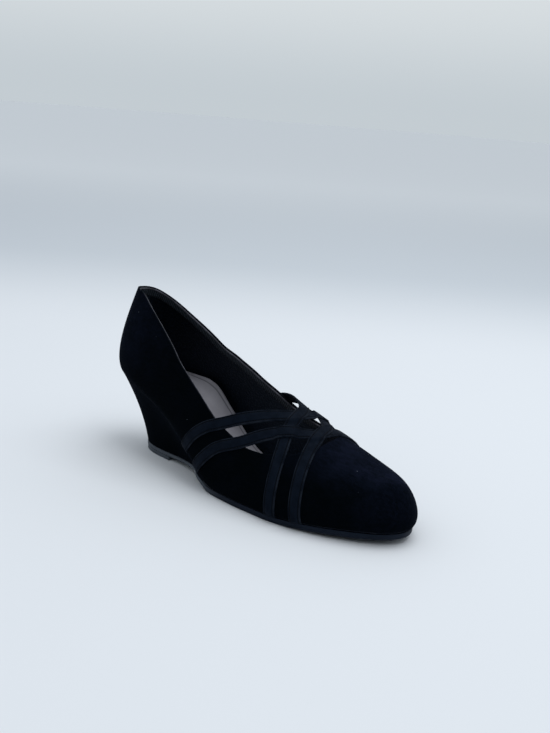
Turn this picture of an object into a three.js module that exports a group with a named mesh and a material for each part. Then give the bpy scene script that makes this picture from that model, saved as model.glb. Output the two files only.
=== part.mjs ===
// Wedge pump, right shoe: a closed back, a low round throat and four woven bands over the instep.
// Millimetres, +Z up, the shoe stands on Z = 0 with its toe towards +X and its outer side towards -Y.
import * as THREE from "three";
import { mergeVertices } from "three/addons/utils/BufferGeometryUtils.js";

// Driving dimensions.
const LENGTH = 240;
const BALL_HALF = 38.2;
const SEAT_HEIGHT = 56.5;
const RIDGE_HEIGHT = 170;
const RIDGE_IN = 3;
const WALL = 1.8;
const GAP = 0.3;
const INSOLE = 2;
const OUTSOLE = 3.9;
const LIFT = 2.9;
const HEEL_BACK = 26;
const HEEL_HALF = 18;
const HEEL_REACH = 77;
const WEDGE_SHARE = 0.44;
const LIFT_FRONT = 58;
const SOLE_MARGIN = 2.2;
const BED_CLEAR = 0.42;
const WAIST_RISE = 4.6;
const TOE_SPRING = 4.2;
const BULGE = 2.5;
const BULGE_SPAN = 75;
const BAND = 8;
const BAND_THICK = 1.1;
const LIFT_OVER = [0.7, 3.6];

// Half widths at the feather line as shares of BALL_HALF: share of length, outer side, inner side.
const WIDTH = [
  [0, 0, 0],
  [0.02, 0.301, 0.301],
  [0.06, 0.471, 0.471],
  [0.14, 0.61, 0.602],
  [0.25, 0.694, 0.628],
  [0.33, 0.772, 0.641],
  [0.4, 0.851, 0.668],
  [0.46, 0.921, 0.72],
  [0.52, 0.969, 0.777],
  [0.58, 0.995, 0.843],
  [0.66, 1, 0.911],
  [0.72, 0.969, 0.932],
  [0.8, 0.869, 0.88],
  [0.88, 0.686, 0.738],
  [0.94, 0.49, 0.555],
  [0.98, 0.283, 0.325],
  [1, 0, 0],
];

// Foot bed over the outsole: share of length, share of the rise to SEAT_HEIGHT, share of TOE_SPRING.
const BED = [
  [0, 1, 0],
  [0.08, 0.9524, 0],
  [0.147, 0.8755, 0],
  [0.195, 0.804, 0],
  [0.232, 0.7336, 0],
  [0.27, 0.6459, 0],
  [0.303, 0.5539, 0],
  [0.335, 0.4499, 0],
  [0.363, 0.3503, 0],
  [0.39, 0.2464, 0],
  [0.413, 0.1625, 0],
  [0.44, 0.0742, 0],
  [0.46, 0.0255, 0],
  [0.48, 0.0049, 0],
  [0.52, 0, 0],
  [0.64, 0, 0],
  [0.72, 0, 0.128],
  [0.8, 0, 0.424],
  [0.9, 0, 0.787],
  [1, 0, 1.016],
];

// The line that the two side walls lean towards: share of length, shares of RIDGE_HEIGHT and of RIDGE_IN.
const RIDGE = [
  [0, 1, 0],
  [0.1, 0.912, 0],
  [0.25, 0.735, 0],
  [0.4, 0.565, 0.35],
  [0.5, 0.456, 0.75],
  [0.58, 0.379, 1],
  [0.66, 0.318, 1],
  [0.75, 0.268, 1],
  [0.84, 0.232, 0.7],
  [0.92, 0.206, 0.3],
  [1, 0.182, 0],
];

// Section shape: share of length, exponent of the arch on the outer side, shares of BULGE and of BULGE_SPAN,
// the height that it fills, exponent of the arch on the inner side.
const SECTION = [
  [0, 1.45, 1.6, 1, 1.45],
  [0.15, 1.48, 1, 0.967, 1.48],
  [0.3, 1.7, 1, 0.933, 1.7],
  [0.4, 1.9, 1, 0.823, 1.95],
  [0.6, 2, 0.68, 0.6, 2.4],
  [0.75, 2.1, 0.7, 0.451, 2.6],
  [0.85, 2.25, 0.8, 0.387, 2.5],
  [0.93, 2.4, 0.92, 0.387, 2.48],
  [1, 2.5, 1.04, 0.387, 2.5],
];

// Collar and throat: share of length at the foot of the wall, share of length at the edge,
// height of the edge up the wall on the outer side, and on the inner side.
const TOPLINE = [
  [0, 0, 0.5, 0.5],
  [0.03, 0.03, 0.512, 0.492],
  [0.065, 0.065, 0.516, 0.482],
  [0.128, 0.128, 0.491, 0.467],
  [0.182, 0.182, 0.466, 0.461],
  [0.243, 0.243, 0.428, 0.455],
  [0.299, 0.299, 0.388, 0.447],
  [0.37, 0.37, 0.373, 0.494],
  [0.442, 0.442, 0.37, 0.54],
  [0.495, 0.495, 0.371, 0.545],
  [0.557, 0.557, 0.371, 0.52],
  [0.61, 0.606, 0.4, 0.497],
  [0.66, 0.648, 0.456, 0.505],
  [0.705, 0.697, 0.56, 0.575],
  [0.745, 0.734, 0.72, 0.72],
  [0.77, 0.748, 0.85, 0.85],
  [0.8, 0.753, 1, 1],
];

// Half widths of the heel's foot as shares of HEEL_HALF: share of length, outer side, inner side.
const HEEL_FOOT = [
  [0, 0, 0],
  [0.02, 0.572, 0.572],
  [0.05, 0.8, 0.8],
  [0.09, 0.933, 0.933],
  [0.14, 1, 1],
  [0.22, 1.056, 1.033],
  [0.3, 1.25, 1.139],
  [0.36, 1.5, 1.25],
  [0.43, 1.89, 1.444],
  [1, 1.89, 1.444],
];

// Outsole: share of length, share of WAIST_RISE, share left of the height over the lift, share of TOE_SPRING,
// thickness as a share of OUTSOLE.
const SOLE = [
  [0.1, 0, 1, 0, 0.667],
  [0.24, 0, 1, 0, 0.667],
  [0.27, 0.13, 1, 0, 0.641],
  [0.3, 0.435, 1, 0, 0.628],
  [0.333, 0.826, 1, 0, 0.615],
  [0.366, 1, 1, 0, 0.615],
  [0.396, 1, 0.923, 0, 0.641],
  [0.417, 1, 0.744, 0, 0.718],
  [0.4375, 1, 0.41, 0, 0.821],
  [0.458, 1, 0.103, 0, 0.897],
  [0.48, 1, 0, 0, 0.974],
  [0.6, 1, 0, 0, 1],
  [0.68, 1, 0, 0, 1],
  [0.72, 1, 0, 0.095, 1],
  [0.78, 1, 0, 0.357, 1],
  [0.84, 1, 0, 0.595, 1],
  [0.92, 1, 0, 0.81, 1],
  [1.02, 1, 0, 1, 1],
];

// Bands from the outer rear to the inner front: share of length, station over the arch (0 outer foot, 2 inner foot).
const BAND_A1 = [
  [0.359, 0],
  [0.39, 0.146],
  [0.436, 0.292],
  [0.508, 0.454],
  [0.58, 0.665],
  [0.63, 0.87],
  [0.648, 1],
  [0.66, 1.2],
  [0.678, 1.45],
  [0.695, 1.7],
  [0.708, 2],
];
const BAND_A2 = [
  [0.411, 0],
  [0.47, 0.217],
  [0.557, 0.394],
  [0.646, 0.677],
  [0.688, 0.81],
  [0.718, 0.936],
  [0.728, 1.05],
  [0.743, 1.29],
  [0.757, 1.51],
  [0.77, 1.7],
  [0.786, 2],
];
// Bands from the inner rear to the outer front, by the same columns.
const BAND_B1 = [
  [0.359, 2],
  [0.39, 1.854],
  [0.436, 1.708],
  [0.508, 1.546],
  [0.58, 1.335],
  [0.63, 1.13],
  [0.647, 1],
  [0.656, 0.75],
  [0.669, 0.549],
  [0.68, 0.297],
  [0.69, 0],
];
const BAND_B2 = [
  [0.411, 2],
  [0.47, 1.783],
  [0.557, 1.606],
  [0.646, 1.323],
  [0.688, 1.19],
  [0.716, 1.064],
  [0.724, 0.93],
  [0.732, 0.711],
  [0.741, 0.489],
  [0.75, 0.303],
  [0.765, 0],
];
// Each band, its path and the band that it passes over.
const BANDS = [
  ["strap_a1", BAND_A1, "strap_b2"],
  ["strap_a2", BAND_A2, "strap_b1"],
  ["strap_b1", BAND_B1, "strap_a1"],
  ["strap_b2", BAND_B2, "strap_a2"],
];

const clamp = (v, low, high) => Math.min(Math.max(v, low), high);
const mix = (a, b, k) => a + (b - a) * k;
const smooth = (v, low, high) => {
  const k = clamp((v - low) / (high - low), 0, 1);
  return k * k * (3 - 2 * k);
};
const stationOf = (u) => Math.acos(1 - 2 * clamp(u, 0, 1)) / Math.PI;
const shareOf = (s) => (1 - Math.cos(Math.PI * s)) / 2;

// A smooth curve through a table's rows that never overshoots them.
function curve(rows, column, key = (v) => v) {
  const x = rows.map((r) => key(r[0]));
  const y = rows.map((r) => r[column]);
  const n = x.length;
  const h = x.slice(1).map((v, i) => v - x[i]);
  const d = h.map((v, i) => (y[i + 1] - y[i]) / v);
  const m = new Array(n).fill(0);
  for (let i = 1; i < n - 1; i++) {
    const w1 = 2 * h[i] + h[i - 1];
    const w2 = h[i] + 2 * h[i - 1];
    m[i] = d[i - 1] * d[i] > 0 ? (w1 + w2) / (w1 / d[i - 1] + w2 / d[i]) : 0;
  }
  const end = (h0, h1, d0, d1) => {
    const e = ((2 * h0 + h1) * d0 - h0 * d1) / (h0 + h1);
    if (e * d0 <= 0) return 0;
    return d0 * d1 < 0 && Math.abs(e) > 3 * Math.abs(d0) ? 3 * d0 : e;
  };
  m[0] = end(h[0], h[1], d[0], d[1]);
  m[n - 1] = end(h[n - 2], h[n - 3], d[n - 2], d[n - 3]);
  return (v) => {
    const q = clamp(v, x[0], x[n - 1]);
    let i = 0;
    while (i < n - 2 && q > x[i + 1]) i++;
    const t = (q - x[i]) / h[i];
    const t2 = t * t;
    const t3 = t2 * t;
    return (
      y[i] * (2 * t3 - 3 * t2 + 1) +
      m[i] * h[i] * (t3 - 2 * t2 + t) +
      y[i + 1] * (3 * t2 - 2 * t3) +
      m[i + 1] * h[i] * (t3 - t2)
    );
  };
}

const outerHalf = curve(WIDTH, 1, stationOf);
const innerHalf = curve(WIDTH, 2, stationOf);
const bedRise = curve(BED, 1);
const bedSpring = curve(BED, 2);
const ridgeShare = curve(RIDGE, 1);
const ridgeIn = curve(RIDGE, 2);
const archOuter = curve(SECTION, 1);
const archInner = curve(SECTION, 4);
const bulgeSize = curve(SECTION, 2);
const bulgeSpan = curve(SECTION, 3);
const footOuter = curve(HEEL_FOOT, 1, stationOf);
const footInner = curve(HEEL_FOOT, 2, stationOf);
const waistRise = curve(SOLE, 1);
const heelHold = curve(SOLE, 2);
const soleSpring = curve(SOLE, 3);
const soleThick = curve(SOLE, 4);

const halfWidth = (side, s) => BALL_HALF * (side < 0 ? outerHalf(s) : innerHalf(s));
const lowBed = OUTSOLE + BED_CLEAR;
const bedAt = (u) => lowBed + (SEAT_HEIGHT - lowBed) * bedRise(u) + TOE_SPRING * bedSpring(u);
const underAt = (x) => {
  const u = x / LENGTH;
  return (LIFT + GAP + WAIST_RISE * waistRise(u)) * heelHold(u) + TOE_SPRING * soleSpring(u);
};
const topAt = (x) => underAt(x) + OUTSOLE * soleThick(x / LENGTH);

// The foot's form. s runs along the feather line from heel to toe, t from the feather line up to the ridge;
// the walls fan in at both ends so that heel and toe close round. grow moves the wall outwards.
const HEEL_FAN_SHARES = [0.35, 0.12];
const TOE_FAN_SHARES = [0.7, 0.93];
function form(side, s, t, grow) {
  const u = shareOf(s);
  const foot = [LENGTH * u, side * halfWidth(side, s)];
  let r = u;
  if (u < HEEL_FAN_SHARES[0]) {
    const span = HEEL_FAN_SHARES[0] - HEEL_FAN_SHARES[1];
    r = HEEL_FAN_SHARES[0] - span * (1 - (u / HEEL_FAN_SHARES[0]) ** (HEEL_FAN_SHARES[0] / span));
  } else if (u > TOE_FAN_SHARES[0]) {
    const span = TOE_FAN_SHARES[1] - TOE_FAN_SHARES[0];
    const rest = clamp((1 - u) / (1 - TOE_FAN_SHARES[0]), 0, 1);
    r = TOE_FAN_SHARES[0] + span * (1 - rest ** ((1 - TOE_FAN_SHARES[0]) / span));
  }
  const sr = stationOf(r);
  const lean = clamp((r - 0.3) / 0.3, 0, 1);
  const middle = 0.5 * (halfWidth(1, sr) - halfWidth(-1, sr)) * lean;
  const head = [LENGTH * r, middle + RIDGE_IN * ridgeIn(r)];
  const dx = head[0] - foot[0];
  const dy = head[1] - foot[1];
  const d = Math.hypot(dx, dy) + 1e-9;
  const angle = (t * Math.PI) / 2;
  const n = side < 0 ? archOuter(u) : archInner(u);
  const cos = t >= 1 ? 0 : Math.cos(angle);
  const a = 1 - cos ** (2 / n);
  const b = Math.sin(angle) ** (2 / n);
  const z0 = bedAt(u);
  const full = RIDGE_HEIGHT * ridgeShare(r) - z0;
  const rise = full * b;
  const v = clamp(rise / Math.min(BULGE_SPAN * bulgeSpan(u), full), 0, 1);
  const out = BULGE * bulgeSize(u) * 4.07 * v ** 0.6 * (1 - v) ** 2 + grow * cos;
  return [
    foot[0] + dx * a - (dx / d) * out,
    foot[1] + dy * a - (dy / d) * out,
    z0 + rise + grow * Math.sin(angle),
  ];
}
// The same form as one sheet: station 0 is the outer foot, 1 the ridge, 2 the inner foot.
const sheet = (s, station, grow) =>
  station <= 1 ? form(-1, s, Math.max(station, 0), grow) : form(1, s, Math.max(2 - station, 0), grow);

// Outline of the sole: the heel's small foot, blending into the feather line with a margin.
function soleEdge(side, s) {
  const u = shareOf(s);
  const k = smooth(u, 0.36, 0.47);
  const heelX = HEEL_BACK + (HEEL_REACH * u) / 0.43;
  const heelY = HEEL_HALF * (side < 0 ? footOuter(s) : footInner(s));
  const foreX = -SOLE_MARGIN + (LENGTH + 2 * SOLE_MARGIN) * u;
  const foreY = halfWidth(side, s) * (1 + SOLE_MARGIN / BALL_HALF);
  return [mix(heelX, foreX, k), side * mix(heelY, foreY, k)];
}

// A closed mesh from patches, each a grid of points whose rows and columns follow the surface.
function solid(name, patches, colour, roughness) {
  const position = [];
  for (const grid of patches) {
    for (let i = 0; i + 1 < grid.length; i++) {
      for (let j = 0; j + 1 < grid[i].length; j++) {
        const [a, b, c, d] = [grid[i][j], grid[i + 1][j], grid[i + 1][j + 1], grid[i][j + 1]];
        position.push(...a, ...b, ...c, ...a, ...c, ...d);
      }
    }
  }
  const raw = new THREE.BufferGeometry();
  raw.setAttribute("position", new THREE.Float32BufferAttribute(position, 3));
  const geometry = mergeVertices(raw, 1e-3);
  const index = geometry.getIndex().array;
  const kept = [];
  for (let i = 0; i < index.length; i += 3) {
    const [a, b, c] = [index[i], index[i + 1], index[i + 2]];
    if (a !== b && b !== c && c !== a) kept.push(a, b, c);
  }
  geometry.setIndex(kept);
  geometry.computeVertexNormals();
  const material = new THREE.MeshStandardMaterial({ color: colour, roughness });
  const mesh = new THREE.Mesh(geometry, material);
  mesh.name = name;
  return mesh;
}

const range = (n) => Array.from({ length: n + 1 }, (_, i) => i / n);
const flip = (grid) => grid.map((row) => [...row].reverse());

// A slab between two edge lines: stations along it, ribs across it, with its underside and its top.
function slab(name, stations, edge, under, top, colour, roughness, ribs = 4) {
  const across = range(ribs);
  const rib = (s, height) => {
    const [near, far] = [edge(-1, s), edge(1, s)];
    return across.map((k) => {
      const x = mix(near[0], far[0], k);
      return [x, mix(near[1], far[1], k), height(x, s)];
    });
  };
  const low = stations.map((s) => rib(s, under));
  const high = stations.map((s) => rib(s, top));
  const last = stations.length - 1;
  const nearWall = stations.map((_, i) => [low[i][0], high[i][0]]);
  const farWall = stations.map((_, i) => [high[i][ribs], low[i][ribs]]);
  const front = [low[last], high[last]];
  const patches = [flip(low), high, nearWall, farWall, flip(front)];
  return solid(name, patches, colour, roughness);
}

// Upper: one hollow shell, open at the collar and throat and along the feather line.
const topTable = [0, 1, 2, 3].map((c) => (c < 2 ? TOPLINE.map((r) => stationOf(r[c])) : TOPLINE.map((r) => r[c])));
const topKey = TOPLINE.map((_, i) => [i / (TOPLINE.length - 1)]);
const topCurve = topTable.map((values) => curve(topKey.map((k, i) => [k[0], values[i]]), 1));
const OPEN_COLUMNS = 34;
const TOE_COLUMNS = 13;
const WALL_ROWS = 9;
const columnOf = (side, i) => {
  if (i <= OPEN_COLUMNS) {
    const q = i / OPEN_COLUMNS;
    return [topCurve[0](q), topCurve[1](q), i === OPEN_COLUMNS ? 1 : topCurve[side < 0 ? 2 : 3](q)];
  }
  const q = (i - OPEN_COLUMNS) / TOE_COLUMNS;
  return [mix(topCurve[0](1), 1, q), mix(topCurve[1](1), 1, q), 1];
};
const wallPoint = (side, i, k, grow) => {
  const [foot, head, top] = columnOf(side, i);
  return form(side, mix(foot, head, k), top * k, grow);
};
const sheetOf = (side, grow) =>
  range(OPEN_COLUMNS + TOE_COLUMNS).map((_, i) => range(WALL_ROWS).map((k) => wallPoint(side, i, k, grow)));
const skins = [-1, 1].map((side) => [sheetOf(side, WALL), sheetOf(side, 0)]);
const upperPatches = skins.flatMap(([outer, inner], i) => {
  const foot = outer.map((column, c) => [inner[c][0], column[0]]);
  const collar = outer.slice(0, OPEN_COLUMNS + 1).map((column, c) => [column[WALL_ROWS], inner[c][WALL_ROWS]]);
  const patches = [outer, flip(inner), foot, collar];
  return i === 0 ? patches : patches.map(flip);
});
const upper = solid("upper", upperPatches, 0x14161c, 0.95);

// Insole: a thin bed inside the upper, heel to toe.
const insoleEdge = (side, s) => {
  const u = shareOf(s);
  const inset = GAP + 0.4;
  return [inset + (LENGTH - 2 * inset) * u, side * halfWidth(side, s) * (1 - inset / BALL_HALF)];
};
const insole = slab(
  "insole",
  range(36),
  insoleEdge,
  (x, s) => bedAt(shareOf(s)),
  (x, s) => bedAt(shareOf(s)) + INSOLE,
  0x6a6670,
  0.6,
);

// Outsole and the lift under the heel.
const outsole = slab(
  "outsole",
  range(52),
  soleEdge,
  (x) => underAt(x),
  (x) => topAt(x),
  0x2b2f36,
  0.6,
  5,
);
const liftEnd = range(400).find((s) => soleEdge(-1, s)[0] > LIFT_FRONT);
const liftEdge = (side, s) => {
  const [x, y] = soleEdge(side, s);
  return [x + 0.2, y * 0.99];
};
const heelLift = slab(
  "heel_lift",
  range(16).map((k) => k * liftEnd),
  liftEdge,
  () => 0,
  () => LIFT,
  0x24272d,
  0.8,
);

// Wedge: from the small foot on the outsole up to the feather line, hollowed at the back.
const wedgeStations = range(26).map((k) => k * stationOf(WEDGE_SHARE));
const WEDGE_ROWS = 8;
const wedgeLow = (side, s) => {
  const [x, y] = soleEdge(side, s);
  return [x + 0.2 * Math.cos(Math.PI * s), y * 0.99, topAt(x) + GAP];
};
const wedgeHigh = (side, s) => {
  const [x, y] = form(side, s, 0, WALL);
  return [x, y, bedAt(shareOf(s)) - GAP];
};
const wedgeWall = (side) =>
  wedgeStations.map((s) => {
    const [low, high] = [wedgeLow(side, s), wedgeHigh(side, s)];
    return range(WEDGE_ROWS).map((v) => {
      const flare = 0.45 * v + 0.55 * v * v;
      return [mix(low[0], high[0], flare), mix(low[1], high[1], flare), mix(low[2], high[2], v)];
    });
  });
const wedgeSides = [wedgeWall(-1), wedgeWall(1)];
const wedgeRibs = 4;
const capRow = (i, row) => {
  const [near, far] = [wedgeSides[0][i][row], wedgeSides[1][i][row]];
  return range(wedgeRibs).map((k) => near.map((v, c) => mix(v, far[c], k)));
};
const wedgeFront = wedgeStations.length - 1;
const wedge = solid(
  "wedge",
  [
    wedgeSides[0],
    flip(wedgeSides[1]),
    flip(wedgeStations.map((_, i) => capRow(i, 0))),
    wedgeStations.map((_, i) => capRow(i, WEDGE_ROWS)),
    flip(range(WEDGE_ROWS).map((_, r) => capRow(wedgeFront, r))),
  ],
  0x14161c,
  0.95,
);

// Bands: a path over the form, widened square to itself, raised where the band passes over its partner.
const distance = (a, b) => Math.hypot(a[0] - b[0], a[1] - b[1], a[2] - b[2]);
function bandPath(rows) {
  const path = rows.map(([u, station]) => [stationOf(u), station]);
  const along = [0];
  path.forEach((p, i) => {
    if (i > 0) along.push(along[i - 1] + distance(sheet(...path[i - 1], WALL), sheet(...p, WALL)));
  });
  const s = curve(along.map((v, i) => [v, path[i][0]]), 1);
  const station = curve(along.map((v, i) => [v, path[i][1]]), 1);
  const length = along[along.length - 1];
  return { length, at: (v) => [s(v), station(v)] };
}
const paths = new Map(BANDS.map(([name, rows]) => [name, bandPath(rows)]));
const BAND_STEPS = 60;
const BAND_COLUMNS = 3;
function band(name, over) {
  const path = paths.get(name);
  const partner = paths.get(over);
  const marks = range(240).map((k) => sheet(...partner.at(k * partner.length), WALL));
  const e = 1e-3;
  const frame = (v) => {
    const [s, station] = path.at(v);
    const here = sheet(s, station, WALL);
    const ds = sheet(s + e, station, WALL).map((c, i) => (c - here[i]) / e);
    const flat = station > 1 ? -e : e;
    const dt = sheet(s, station + flat, WALL).map((c, i) => (c - here[i]) / flat);
    const [a, b] = [path.at(Math.max(v - 0.5, 0)), path.at(Math.min(v + 0.5, path.length))];
    const tangent = [b[0] - a[0], b[1] - a[1]];
    const dot = (p, q) => p[0] * q[0] + p[1] * q[1] + p[2] * q[2];
    const along = ds.map((c, i) => c * tangent[0] + dt[i] * tangent[1]);
    // The step across is the one whose image on the form is square to the path.
    const [p, q] = [dot(along, ds), dot(along, dt)];
    const step = [-q, p];
    const image = ds.map((c, i) => c * step[0] + dt[i] * step[1]);
    const size = Math.sqrt(dot(image, image));
    return { s, station, step: step.map((c) => c / size) };
  };
  const grids = [0, 1].map((face) =>
    range(BAND_STEPS).map((k) => {
      const f = frame(k * path.length);
      return range(BAND_COLUMNS).map((w) => {
        const side = (w - 0.5) * BAND;
        const spot = [f.s + f.step[0] * side, clamp(f.station + f.step[1] * side, 0, 2)];
        const here = sheet(...spot, WALL);
        const near = Math.min(...marks.map((m) => distance(m, here)));
        const level = 1 - smooth(near, BAND / 2 + LIFT_OVER[0], BAND / 2 + LIFT_OVER[1]);
        return sheet(...spot, WALL + GAP + level * (BAND_THICK + GAP) + face * BAND_THICK);
      });
    }),
  );
  const [low, high] = grids;
  const wallA = high.map((row, i) => [low[i][0], row[0]]);
  const wallB = high.map((row, i) => [row[BAND_COLUMNS], low[i][BAND_COLUMNS]]);
  const start = [low[0], high[0]];
  const finish = [high[BAND_STEPS], low[BAND_STEPS]];
  return solid(name, [high, flip(low), wallA, wallB, start, finish], 0x23272f, 0.7);
}

const parts = [upper, wedge, insole, outsole, heelLift, ...BANDS.map(([name, , over]) => band(name, over))];

// The part stands with the middle of its box over the origin.
const box = new THREE.Box3();
parts.forEach((mesh) => box.expandByObject(mesh));
const centre = box.getCenter(new THREE.Vector3());
parts.forEach((mesh) => mesh.geometry.translate(-centre.x, -centre.y, -box.min.z));

const shoe = new THREE.Group();
shoe.name = "wedge_pump";
shoe.add(...parts);
export default shoe;
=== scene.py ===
import math

import bmesh
import bpy
import numpy as np
from mathutils import Matrix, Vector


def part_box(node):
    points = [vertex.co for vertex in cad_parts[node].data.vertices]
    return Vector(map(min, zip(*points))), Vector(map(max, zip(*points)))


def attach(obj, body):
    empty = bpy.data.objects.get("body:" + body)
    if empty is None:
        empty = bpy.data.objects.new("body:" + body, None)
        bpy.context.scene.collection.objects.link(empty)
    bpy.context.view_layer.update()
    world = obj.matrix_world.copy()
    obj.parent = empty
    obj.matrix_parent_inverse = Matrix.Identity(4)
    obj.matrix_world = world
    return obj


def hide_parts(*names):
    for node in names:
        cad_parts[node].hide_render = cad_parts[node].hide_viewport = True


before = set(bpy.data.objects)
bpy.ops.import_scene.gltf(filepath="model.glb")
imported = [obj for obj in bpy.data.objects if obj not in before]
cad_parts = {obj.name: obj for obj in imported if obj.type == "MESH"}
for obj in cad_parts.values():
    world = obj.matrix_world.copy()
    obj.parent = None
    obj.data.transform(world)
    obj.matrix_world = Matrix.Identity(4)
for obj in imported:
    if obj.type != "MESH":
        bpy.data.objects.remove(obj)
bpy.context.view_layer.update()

# The last. The foot form that the upper is pulled over and the bands are laid on, in millimetres from its
# heel tip. The real one is plastic and is drawn out of the finished shoe; here every soft sheet follows it.
MM = 0.001
LENGTH = 240
BALL_HALF = 38.2
SEAT_HEIGHT = 56.5
RIDGE_HEIGHT = 170
RIDGE_IN = 3
LOW_BED = 4.32
TOE_SPRING = 4.2
BULGE = 2.5
BULGE_SPAN = 75
# Brings the top of the bulge's hump, v to the power 0.6 times (1 - v) squared, to one.
HUMP = 4.07
WALL = 1.8
GAP = 0.3
# Shares of the length between which the walls fan in at the heel and the toe, and lean over to the inner side.
HEEL_FAN = (0.35, 0.12)
TOE_FAN = (0.7, 0.93)
LEAN = (0.3, 0.6)
# Share of length, half width of the outer side, half width of the inner side.
WIDTH = [
    (0, 0, 0),
    (0.02, 0.301, 0.301),
    (0.06, 0.471, 0.471),
    (0.14, 0.61, 0.602),
    (0.25, 0.694, 0.628),
    (0.33, 0.772, 0.641),
    (0.4, 0.851, 0.668),
    (0.46, 0.921, 0.72),
    (0.52, 0.969, 0.777),
    (0.58, 0.995, 0.843),
    (0.66, 1, 0.911),
    (0.72, 0.969, 0.932),
    (0.8, 0.869, 0.88),
    (0.88, 0.686, 0.738),
    (0.94, 0.49, 0.555),
    (0.98, 0.283, 0.325),
    (1, 0, 0),
]
# Share of length, share of the rise to the seat, share of the toe spring.
BED = [
    (0, 1, 0),
    (0.08, 0.9524, 0),
    (0.147, 0.8755, 0),
    (0.195, 0.804, 0),
    (0.232, 0.7336, 0),
    (0.27, 0.6459, 0),
    (0.303, 0.5539, 0),
    (0.335, 0.4499, 0),
    (0.363, 0.3503, 0),
    (0.39, 0.2464, 0),
    (0.413, 0.1625, 0),
    (0.44, 0.0742, 0),
    (0.46, 0.0255, 0),
    (0.48, 0.0049, 0),
    (0.52, 0, 0),
    (0.64, 0, 0),
    (0.72, 0, 0.128),
    (0.8, 0, 0.424),
    (0.9, 0, 0.787),
    (1, 0, 1.016),
]
# The line that the two walls lean towards: share of length, share of its height, share of its shift inwards.
RIDGE = [
    (0, 1, 0),
    (0.1, 0.912, 0),
    (0.25, 0.735, 0),
    (0.4, 0.565, 0.35),
    (0.5, 0.456, 0.75),
    (0.58, 0.379, 1),
    (0.66, 0.318, 1),
    (0.75, 0.268, 1),
    (0.84, 0.232, 0.7),
    (0.92, 0.206, 0.3),
    (1, 0.182, 0),
]
# Share of length, exponent of the arch on the outer side, share of the bulge, share of the bulge's height,
# exponent on the inner side.
SECTION = [
    (0, 1.45, 1.6, 1, 1.45),
    (0.15, 1.48, 1, 0.967, 1.48),
    (0.3, 1.7, 1, 0.933, 1.7),
    (0.4, 1.9, 1, 0.823, 1.95),
    (0.6, 2, 0.68, 0.6, 2.4),
    (0.75, 2.1, 0.7, 0.451, 2.6),
    (0.85, 2.25, 0.8, 0.387, 2.5),
    (0.93, 2.4, 0.92, 0.387, 2.48),
    (1, 2.5, 1.04, 0.387, 2.5),
]


def curve(x, y):
    """A smooth line through points: a cubic between each pair, whose slope at a point is the weighted harmonic
    mean of the slopes on both sides, or zero where those differ in sign, so that it never overshoots."""
    x, y = np.asarray(x, float), np.asarray(y, float)
    h = np.diff(x)
    d = np.diff(y) / h
    slope = np.zeros(len(x))
    one, two = 2 * h[1:] + h[:-1], h[1:] + 2 * h[:-1]
    same = d[:-1] * d[1:] > 0
    safe = np.where(same, d[:-1], 1), np.where(same, d[1:], 1)
    slope[1:-1] = np.where(same, (one + two) / (one / safe[0] + two / safe[1]), 0)
    for end, near, next_one in ((0, 0, 1), (-1, -1, -2)):
        guess = ((2 * h[near] + h[next_one]) * d[near] - h[near] * d[next_one]) / (h[near] + h[next_one])
        if guess * d[near] <= 0:
            guess = 0
        elif d[near] * d[next_one] < 0 and abs(guess) > 3 * abs(d[near]):
            guess = 3 * d[near]
        slope[end] = guess

    def at(value):
        """The line's height at a value, held beyond both ends."""
        q = np.clip(value, x[0], x[-1])
        i = np.clip(np.searchsorted(x, q, side="right") - 1, 0, len(h) - 1)
        t = (q - x[i]) / h[i]
        rise = y[i] * (2 * t**3 - 3 * t**2 + 1) + y[i + 1] * (3 * t**2 - 2 * t**3)
        return rise + h[i] * (slope[i] * (t**3 - 2 * t**2 + t) + slope[i + 1] * (t**3 - t**2))

    return at


def station_of(share):
    """Station along the feather line: the arc cosine of one less twice the share, over pi."""
    return np.arccos(1 - 2 * np.clip(share, 0, 1)) / np.pi


def share_of(station):
    """Share of the length at a station, the other way round."""
    return (1 - np.cos(np.pi * np.asarray(station, float))) / 2


def curves(rows, by_station=False):
    """A smooth line for each further column of a table along its first one, or along that one's station."""
    key, *columns = np.array(rows, float).T
    return [curve(station_of(key) if by_station else key, column) for column in columns]


def ease(value, low, high):
    """The share of the way from low to high, held at both ends and smoothed there."""
    k = np.clip((value - low) / (high - low), 0, 1)
    return k * k * (3 - 2 * k)


def unit(vectors):
    """The same directions, each of length one."""
    return vectors / np.linalg.norm(vectors, axis=-1)[..., None]


def lengths_along(line):
    """How far along a line each of its points lies."""
    return np.concatenate([[0], np.cumsum(np.linalg.norm(np.diff(line, axis=0), axis=1))])


outer_half, inner_half = curves(WIDTH, by_station=True)
bed_rise, bed_spring = curves(BED)
ridge_share, ridge_in = curves(RIDGE)
arch_outer, bulge_share, bulge_height, arch_inner = curves(SECTION)


def half_width(side, s):
    """Half the width of the last at a station: the ball's half width times that side's share."""
    return BALL_HALF * np.where(np.asarray(side) < 0, outer_half(s), inner_half(s))


def bed_at(share):
    """Height of the foot bed: its low part, plus its share of the rise to the seat and of the toe spring."""
    return LOW_BED + (SEAT_HEIGHT - LOW_BED) * bed_rise(share) + TOE_SPRING * bed_spring(share)


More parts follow.
